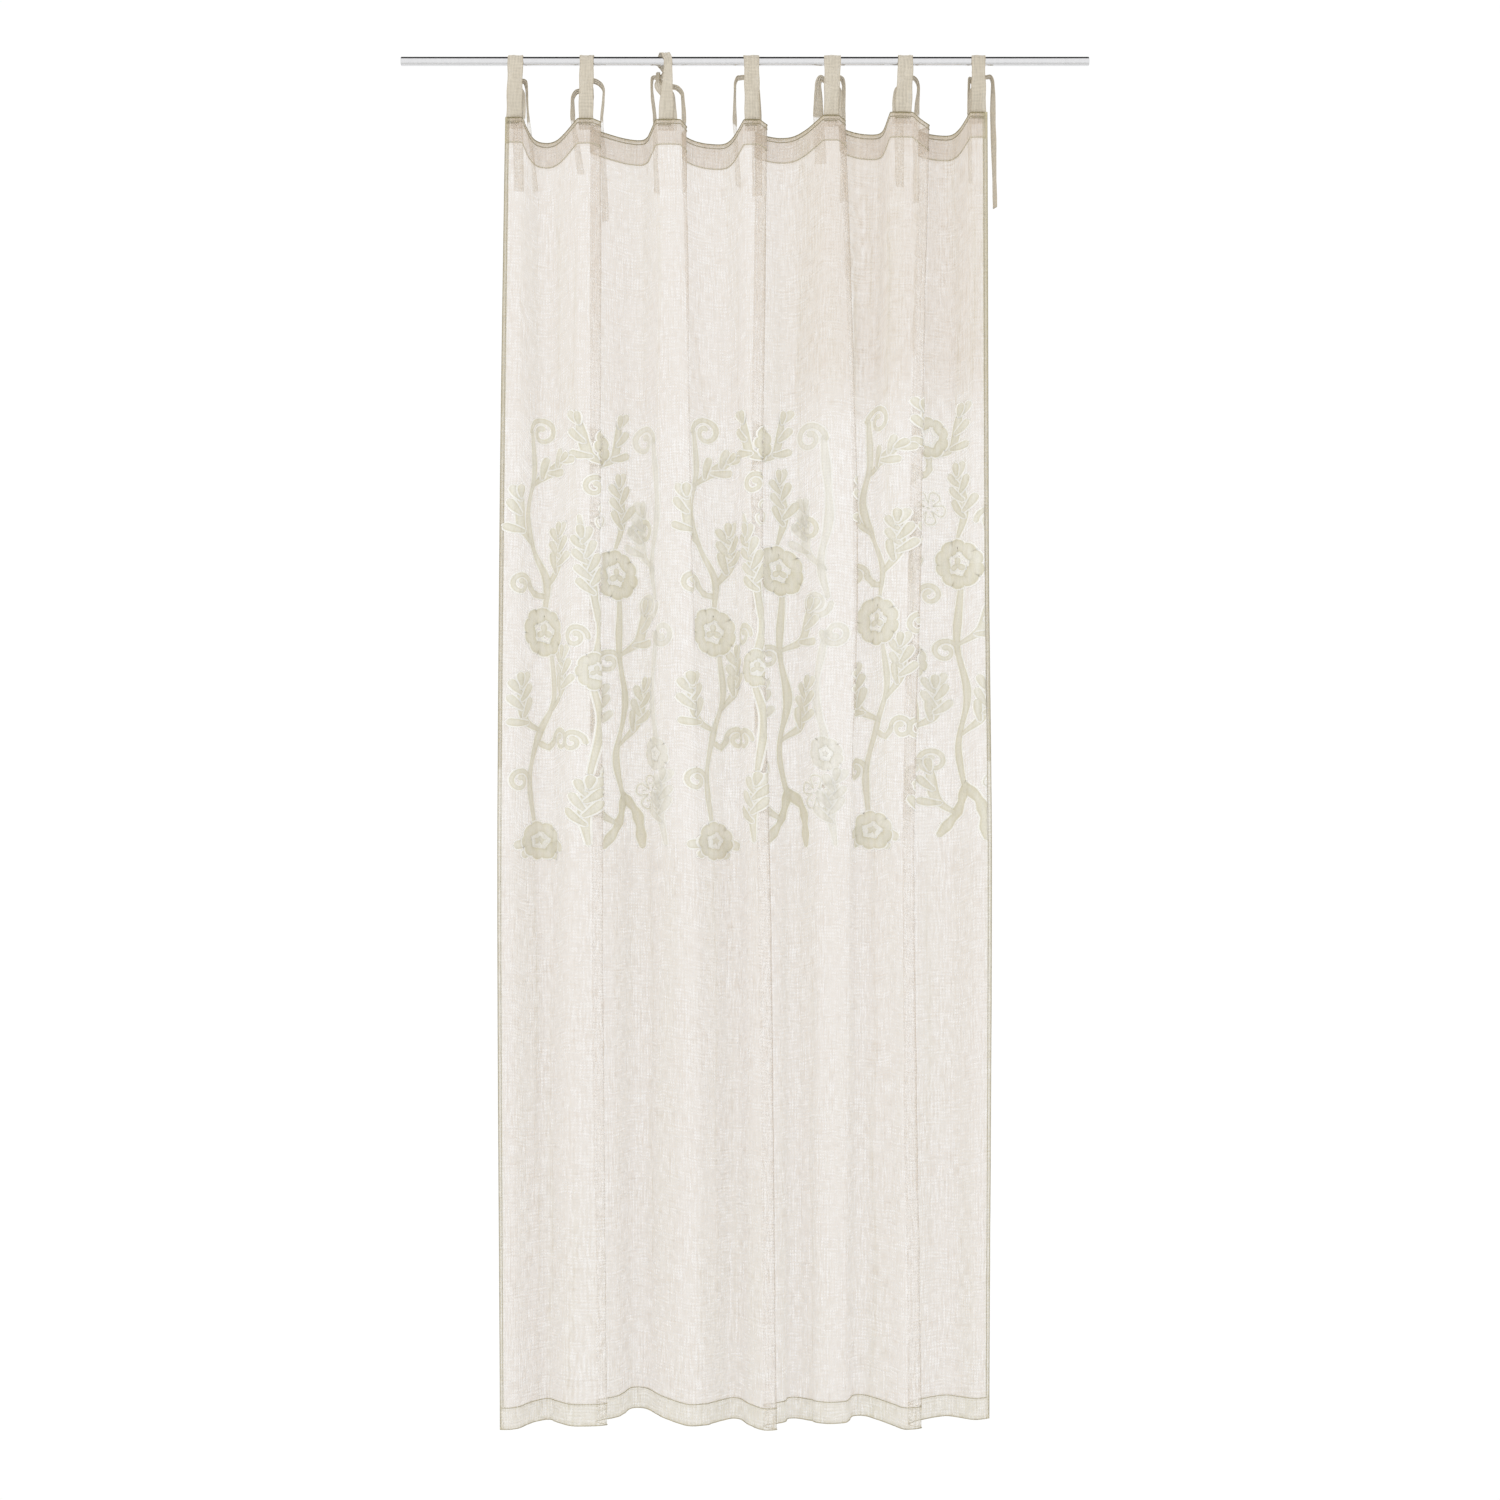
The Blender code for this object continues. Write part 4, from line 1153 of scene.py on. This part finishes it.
def stitch_row(bm, start, end, dark):
    """Stitches from one flat place to another, each a small bar lying on the cloth."""
    run = np.array(end) - start
    length = np.hypot(*run)
    turned = Matrix.Rotation(math.atan2(run[1], run[0]), 4, "Z")
    shaped = Matrix.Diagonal((STITCH_LENGTH, STITCH_WIDTH, STITCH_HEIGHT, 1))
    uv, cover, tone = layers_of(bm)
    for k in range(int(length / STITCH_PITCH)):
        middle = start + run / length * STITCH_PITCH * (k + 0.5)
        matrix = Matrix.Translation((*middle, STITCH_LIFT)) @ turned @ shaped
        bar = bmesh.ops.create_cube(bm, size=1, matrix=matrix)["verts"]
        for vert in bar:
            vert[cover] = 1.0
            vert[tone] = dark
            for loop in vert.link_loops:
                loop[uv].uv = vert.co.xy


bm = flat_work()
# Each row's tone: partly the thread's colour, partly painted shade of the folded edge, darkest on
# the top edge.
for v, dark in ((EDGE_SEAM, 1.0), (HEADING_SEAM, 0.7), (HEADING_DEPTH - SEAM_INSIDE, 0.0),
                (LENGTH - HEM_DEPTH + SEAM_INSIDE, 0.0), (LENGTH - EDGE_SEAM, 0.2)):
    stitch_row(bm, (INSIDE_EDGE, v), (WIDTH - INSIDE_EDGE, v), dark)
for s in (SIDE_HEM_WIDTH - SEAM_INSIDE, WIDTH - SIDE_HEM_WIDTH + SEAM_INSIDE):
    stitch_row(bm, (s, HEADING_DEPTH), (s, LENGTH - HEM_DEPTH), 0.3)
for s in (EDGE_SEAM, WIDTH - EDGE_SEAM):
    stitch_row(bm, (s, HEADING_DEPTH), (s, LENGTH - INSIDE_EDGE), 0.4)
for tab in TABS:
    left, right = (
        foremost(tab.x_head + side * (tab.w_head / 2 - MM), tab.top - TAB_SEAM_LEVEL)[0]
        for side in (-1, 1))
    for v in TAB_SEAMS:
        stitch_row(bm, (left, v), (right, v), 0.8)
stitches = hang_work(bm, "machine_stitches", THREAD)
print("stitch bars:", len(stitches.data.polygons) // 6)

# %% [markdown]
# ## The flower band
#
# The vines, leaves and blossoms are narrow strips of closely stitched cloth, sewn flat
# on the gauze with a pale cord along their edges. Each is one grid of cells that is
# moved along a line, with its own width all the way: a leaf is a strip that swells and
# ends in a round lobe, a blossom is a ring whose outer edge is scalloped. They are drawn
# as one sees them from the front, in millimetres to the right and down.

# %% Lines and their round ends
STRIP_STEP = 5.0


def curve(points):
    """A rounded line through the points, with a place every few millimetres."""
    points = np.array(points, float)
    before, after = 2 * points[0] - points[1], 2 * points[-1] - points[-2]
    p = np.vstack([before, points, after])
    rows = []
    for k in range(len(points) - 1):
        p0, p1, p2, p3 = p[k:k + 4]
        count = max(2, round(np.hypot(*(p2 - p1)) / STRIP_STEP))
        t = (np.arange(count) / count)[:, None]
        rows.append(0.5 * (2 * p1 + (p2 - p0) * t + (2 * p0 - 5 * p1 + 4 * p2 - p3) * t * t
                           + (3 * p1 - p0 - 3 * p2 + p3) * t ** 3))
    return np.vstack(rows + [points[-1:]])


def round_ends(line, widths):
    """The line, its widths and the breadth of its cord, with a round end added to both
    ends. The cord goes round the end too: there the strip itself has no width."""
    turns = np.radians((28, 56, 78, 90, 90, 90))
    cord_reach = np.array((0, 0, 0, 0.3, 1.9, 2.7))
    cord = (1, 1, 1, 1, 0.7, 0.2)
    caps = []
    for end, before in ((0, 1), (-1, -2)):
        away = line[end] - line[before]
        away = away / max(np.hypot(*away), 1e-6)
        reach = 0.5 * widths[end] * np.sin(turns) + cord_reach
        caps.append((line[end] + np.outer(reach, away), widths[end] * np.cos(turns).round(6)))
    (first, thin), (last, narrow) = caps
    return (np.vstack([first[::-1], line, last]), np.concatenate([thin[::-1], widths, narrow]),
            np.concatenate([cord[::-1], np.ones(len(line)), cord]))


print("places on a bend of 40 mm:", len(curve([(0, 0), (20, 5), (20, 40)])))

# %% A sewn strip
SEWN_COVER = 0.95
STRIP_LIFT = 0.5 * MM
STRIP_CROWN = 0.7 * MM
LAYER_LIFT = 0.6 * MM
# Across a strip: the share of its width and the millimetres beyond it, then the share
# of its tone and of its crown. Its pale cord lies outside its width on both sides.
# The tone is darkest just inside the cord and lightest along the middle: painted shade that rounds
# the raised strip.
HALF_PROFILE = ((-0.5, -2.7, 0.0, 0.2), (-0.5, -1.4, 0.0, 0.4), (-0.5, -0.1, 0.0, 0.3),
                (-0.5, 0.3, 1.1, 0.5), (-0.3, 0.0, 0.75, 0.8))
STRIP_PROFILE = (*HALF_PROFILE, (0.0, 0.0, 0.6, 1.0),
                 *((-share, -beyond, *rest) for share, beyond, *rest in HALF_PROFILE[::-1]))


def lengths_along(line):
    """How far along the line each of its points lies."""
    return np.concatenate([[0], np.cumsum(np.hypot(*np.diff(line, axis=0).T))])


def strip(bm, line, widths, tone, cover=SEWN_COVER, closed=False, layer=0):
    """A sewn strip along a line, with its width at each point, in millimetres. A strip
    of a higher layer lies over the ones below it."""
    line = np.asarray(line, float)
    widths = np.interp(np.linspace(0, 1, len(line)), np.linspace(0, 1, len(widths)), widths)
    cord = np.ones(len(line))
    if closed:
        tangents = np.roll(line, -1, axis=0) - np.roll(line, 1, axis=0)
        tangents[0] = tangents[-1] = line[1] - line[-2]
    else:
        line, widths, cord = round_ends(line, widths)
        tangents = np.gradient(line, axis=0)
    tangents /= np.maximum(np.hypot(*tangents.T), 1e-6)[:, None]
    side = np.stack([-tangents[:, 1], tangents[:, 0]], axis=1)
    run = lengths_along(line)
    uv, cover_layer, tone_layer = layers_of(bm)
    rows, columns = len(line) - 1, len(STRIP_PROFILE) - 1
    grid = bmesh.ops.create_grid(bm, x_segments=columns, y_segments=rows, size=0.5)["verts"]
    for vert in grid:
        share, beyond, tone_share, crown_share = STRIP_PROFILE[round((vert.co.x + 0.5) * columns)]
        row = round((0.5 - vert.co.y) * rows)
        across = share * widths[row] + beyond * cord[row]
        at = line[row] + side[row] * across
        vert.co = (at[0], at[1], STRIP_LIFT + layer * LAYER_LIFT + STRIP_CROWN * crown_share)
        vert[cover_layer] = cover
        vert[tone_layer] = tone * tone_share * (1.1 - 0.2 * row / rows) * (widths[row] > 0)
        for loop in vert.link_loops:
            loop[uv].uv = (across * MM + at[0] * 0.01, run[row] * MM)


print("columns of a strip:", len(STRIP_PROFILE) - 1)

# %% [markdown]
# A vine swells and narrows by turns, and may end in a spiral. A leaf has one lobe, and a
# spray carries lobes on both sides of its stem, shorter and closer to it near the tip.

# %% Vines and leaves
def tendril(bm, x, y, radius, turns, start, side, width=8.5, tone=0.9, cover=SEWN_COVER):
    """A vine's curled end: a spiral that starts at the angle start and winds inwards."""
    angles = np.linspace(0, 2 * math.pi * turns, round(16 * turns) + 4)
    reach = radius * (1 - 0.70 * angles / angles[-1])
    angles = math.radians(start) + side * angles
    line = np.stack([x + reach * np.cos(angles), y + reach * np.sin(angles)], axis=1)
    strip(bm, line, (0.9 * width, width, 0.9 * width, 0.8 * width, 1.15 * width), tone, cover)


ROUNDED = (0.5, 0.7, 0.95, 1.05, 1.0)


def leaf(bm, x, y, angle, length, width, bend=0.25, tone=0.9, cover=SEWN_COVER, layer=1):
    """A strip that swells towards its end. It grows from x, y at the angle."""
    t = np.linspace(0, 1, max(4, round(length / 4)))
    turn = math.radians(angle) + bend * (t - 0.2)
    steps = np.stack([np.cos(turn), np.sin(turn)], axis=1) * (length / (len(t) - 1))
    line = np.array([x, y]) + np.vstack([[0, 0], np.cumsum(steps[:-1], axis=0)])
    strip(bm, line, np.array(ROUNDED) * width, tone, cover, layer=layer)


def along(line, share):
    """The place and the heading in degrees at a share of a line's length."""
    run = lengths_along(line)
    k = min(int(np.searchsorted(run, share * run[-1])), len(line) - 2)
    return line[k], math.degrees(math.atan2(*(line[k + 1] - line[k])[::-1])), run[-1]


def spray(bm, points, sides=(-1, 1), lobe=30, width=12.5, every=24, tone=0.95, cover=SEWN_COVER):
    """A swelling stem with rounded lobes in its upper part, by turns on its sides, and
    one at its tip."""
    line = curve(points)
    strip(bm, line, (6.0, 11.0, 17.0, 17.0, 10.0), tone, cover)
    count = max(3, round(0.65 * along(line, 0)[2] * len(sides) / (2 * every)) * 2)
    for number in range(count):
        share = 0.3 + 0.6 * number / (count - 1)
        at, way, _ = along(line, share)
        side = sides[number % len(sides)]
        leaf(bm, *at, way + side * (50 - 14 * share), lobe * (1.15 - 0.4 * share), width,
             -0.3 * side, tone - 0.08 * (number % 3), cover, 1 + number % 2)
    at, way, _ = along(line, 1)
    leaf(bm, *at, way, 0.5 * lobe, width, 0.1, tone, cover, 3)


def vine(bm, points, width=10, tone=0.9, cover=SEWN_COVER):
    """A stem that swells and narrows by turns."""
    strip(bm, curve(points), np.array((0.7, 1.2, 0.8, 1.3, 0.8, 1.2, 0.7)) * width, tone, cover)


print("widths along a leaf:", ROUNDED)

# %% [markdown]
# A blossom is one broad closed strip. Its width follows the scallops of its edge and the
# five bays of its opening. The outlined flower is drawn in a single narrow line instead.

# %% Blossoms
def blossom(bm, x, y, radius, petals=10, opening=0.46, squeeze=0.9, tone=0.9, cover=SEWN_COVER):
    """A broad ring with a scalloped edge and a pale opening that has five bays."""
    angles = np.linspace(0, 2 * math.pi, 6 * petals + 1)
    around = np.stack([squeeze * np.cos(angles), np.sin(angles)], axis=1)
    hollow = opening * radius * (1 + 0.13 * np.cos(5 * angles + 0.6))
    edge = radius * (0.88 + 0.14 * np.abs(np.sin(petals * angles / 2)) + 0.04 * np.sin(2 * angles))
    strip(bm, [x, y] + around * ((edge + hollow) / 2)[:, None], edge - hollow, tone, cover, True, 2)
    strip(bm, [x, y] + around * (hollow - 3)[:, None], [2.5, 2.5], 0.0, SEWN_COVER, True, 2)


def trefoil(bm, x, y, size, tone=0.9):
    for angle in (-90, 30, 150):
        leaf(bm, x, y, angle, 0.6 * size, 0.7 * size, 0.0, tone, SEWN_COVER, 3)


PETALS = 5


def outline_flower(bm, x, y, radius, turn):
    """Five petals drawn in one narrow line each, with a ring of knots in the middle."""
    tone = 1.0
    for petal in range(PETALS):
        away = math.radians(turn + 360 / PETALS * petal)
        t = np.linspace(-1, 1, 13)
        reach = radius * (0.34 + 0.66 * np.sqrt(np.clip(1 - t ** 4, 0, 1)))
        angles = away + 0.56 * t * (1 - 0.25 * (1 - t * t))
        line = np.stack([x + reach * np.cos(angles), y + reach * np.sin(angles)], axis=1)
        strip(bm, line, (1.5, 1.8, 1.5), tone)
        knot = np.array([x, y]) + 0.55 * radius * np.array((math.cos(away), math.sin(away)))
        strip(bm, [knot - (1.0, 0), knot, knot + (1.0, 0)], (1.5, 2.2, 1.5), tone)
    strip(bm, [(x - 1.5, y), (x, y), (x + 1.5, y)], (2.0, 3.5, 2.0), tone)


print("knots in an outlined flower:", PETALS)

# %% [markdown]
# ## The pattern
#
# The shapes are arranged in four upright columns, 383 mm wide together. The
# fourth is paler, as it is sewn on with thinner thread. Vines, spirals and round blossoms
# are old and common in embroidery, so their order is free.

# %% The first two columns
def left_column(bm):
    tendril(bm, 78, 44, 26, 1.25, 180, 1)
    vine(bm, [(84, 360), (88, 306), (66, 250), (50, 190), (62, 120), (55, 44)])
    spray(bm, [(60, 140), (88, 118), (122, 92)])
    spray(bm, [(86, 322), (114, 280), (116, 220)])
    spray(bm, [(64, 246), (36, 214), (30, 156)], (-1,))
    tendril(bm, 38, 318, 20, 1.25, 0, -1)
    vine(bm, [(86, 338), (68, 334), (55, 318)], 10)
    blossom(bm, 80, 402, 43)
    trefoil(bm, 80, 402, 15)
    vine(bm, [(66, 740), (58, 664), (76, 590), (100, 520), (92, 446)])
    spray(bm, [(98, 540), (126, 500), (124, 440)])
    spray(bm, [(82, 580), (44, 556), (34, 490)])
    tendril(bm, 126, 594, 21, 1.25, 180, 1)
    vine(bm, [(78, 600), (94, 608), (108, 594)], 10)
    tendril(bm, 36, 668, 21, 1.25, 0, -1)
    blossom(bm, 76, 776, 34, 9, 0.42, 1.15)
    for angle, length in ((165, 46), (135, 40), (15, 46), (45, 40)):
        leaf(bm, 76, 772, angle, length, 15)


def middle_column(bm):
    blossom(bm, 214, 70, 36, 9, 0.48, 0.95, 1.0)
    spray(bm, [(204, 100), (170, 84), (156, 24)], (-1,), tone=1.0)
    spray(bm, [(228, 102), (258, 84), (270, 24)], (1,), tone=0.95)
    tendril(bm, 180, 142, 20, 1.2, 0, -1, tone=0.95)
    vine(bm, [(214, 100), (214, 130), (197, 142)], 11, 0.95)
    outline_flower(bm, 214, 196, 30, 12)
    vine(bm, [(178, 650), (194, 560), (180, 480), (192, 400), (178, 300), (158, 196)])
    spray(bm, [(188, 380), (180, 310), (162, 226)])
    tendril(bm, 218, 352, 20, 1.2, 180, 1)
    tendril(bm, 152, 410, 21, 1.25, 0, -1)
    blossom(bm, 186, 470, 33, 9, 0.44, 0.9, 0.85)
    trefoil(bm, 186, 470, 11)
    spray(bm, [(192, 590), (222, 566), (226, 510)], tone=0.85)
    tendril(bm, 154, 596, 20, 1.2, 0, -1)
    spray(bm, [(170, 776), (166, 726), (176, 670)])
    tendril(bm, 218, 650, 22, 1.2, 180, 1)


print("columns so far:", left_column.__name__, middle_column.__name__)

# %% The last two columns
def right_column(bm):
    vine(bm, [(276, 700), (260, 620), (280, 530), (264, 440), (270, 340)], 12, 1.0)
    spray(bm, [(268, 600), (306, 566), (318, 496)], tone=0.95)
    tendril(bm, 244, 452, 22, 1.25, 0, -1)
    spray(bm, [(266, 440), (304, 414), (318, 356)], (1,), tone=0.85)
    blossom(bm, 266, 296, 44, tone=1.0)
    trefoil(bm, 266, 298, 15, 1.0)
    spray(bm, [(266, 250), (280, 200), (268, 130)], tone=1.0)
    tendril(bm, 320, 220, 22, 1.25, 180, 1)
    vine(bm, [(276, 690), (266, 734), (236, 780)], 16, 1.15)
    vine(bm, [(276, 690), (304, 726), (312, 784)], 16, 1.15)
    spray(bm, [(262, 744), (226, 716), (212, 660)], (-1,), tone=0.95)
    outline_flower(bm, 336, 690, 31, -20)


def far_column(bm):
    tendril(bm, 322, 58, 27, 1.25, 0, -1, 10, 0.7, 0.75)
    vine(bm, [(350, 340), (340, 280), (356, 190), (346, 58)], 11, 0.6, 0.7)
    spray(bm, [(346, 290), (316, 256), (318, 180)], (-1,), tone=0.6, cover=0.7)
    tendril(bm, 330, 352, 26, 1.25, 0, 1, 10, 0.65, 0.75)
    tendril(bm, 366, 404, 23, 1.25, 180, -1, 10, 0.65, 0.75)
    vine(bm, [(346, 640), (354, 590), (340, 510), (350, 404)], 11, 0.5, 0.7)
    blossom(bm, 354, 620, 30, 9, 0.44, 0.85, 0.6, 0.7)
    spray(bm, [(368, 780), (358, 720), (368, 660)], tone=0.6, cover=0.7)


print("columns:", right_column.__name__, far_column.__name__)

# %% [markdown]
# The pattern comes three times across the cloth. Cloth that bulges looks narrower than
# it is, so the drawing is stretched a little across. It is made a little uneven too, and
# then hung like everything else.

# %% Three times across the cloth
BAND_TOP = -618 * MM
SEEN_SHARE = 1.2
# One row for each time: where it starts across the flat cloth, how far it is raised,
# and the columns that fit there
Copy = namedtuple("Copy", "start raised columns")
WHOLE = (left_column, middle_column, right_column, far_column)
COPIES = (Copy(0, 0, WHOLE), Copy(460, 4, WHOLE), Copy(920, 20, WHOLE[:3]))


def on_the_cloth(bm, copy):
    """Moves a drawing in millimetres to its place on the flat cloth, a little unevenly."""
    for vert in bm.verts:
        x, y, _ = vert.co
        aside = 2.5 * math.sin(y / 55 + copy.start) + 2.0 * math.sin(x / 31 + y / 90)
        s = (copy.start + SEEN_SHARE * (x + aside)) * MM
        height = BAND_TOP + (copy.raised - y + 2.5 * math.sin(x / 47 + 2 * copy.start)) * MM
        place = np.interp(s, BAND_LENGTHS, PLACES)
        top, bottom = (np.interp(place, PLACES, edge) for edge in EDGE_TABLE)
        vert.co.x = min(s, WIDTH - SIDE_HEM_WIDTH)
        vert.co.y = LENGTH * (top - height) / (top - bottom)


for number, copy in enumerate(COPIES, start=1):
    bm = flat_work()
    for column in copy.columns:
        column(bm)
    on_the_cloth(bm, copy)
    hang_work(bm, f"flower_band_{number}", EMBROIDERY)

# %% [markdown]
# ## The rod
#
# The rod is a plain round tube with a satin finish, and its solid already has the right
# shape. It only needs a better surface: a metal with very fine lines brushed round it,
# which a noise that is squeezed along the rod gives without any image.

# %% Rod finish
BRUSHED = (160, 30, 30)
DARKER_METAL = (0.74, 0.74, 0.75)
LIGHTER_METAL = (0.77, 0.77, 0.78)

material, nodes, shader = new_material("satin_metal")
place = nodes.new("ShaderNodeTexCoord").outputs["Object"]
fine = stretched_noise(nodes, place, BRUSHED, 2.0, "3D")
filled(shader, {
    "Base Color": two_colours(nodes, fine, (0.3, DARKER_METAL), (0.7, LIGHTER_METAL)),
    "Roughness": maths(nodes, "MULTIPLY_ADD", fine, 0.02, 0.08),
    "Metallic": 1.0,
})
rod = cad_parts["rod"]
rod.data.materials.clear()
rod.data.materials.append(material)
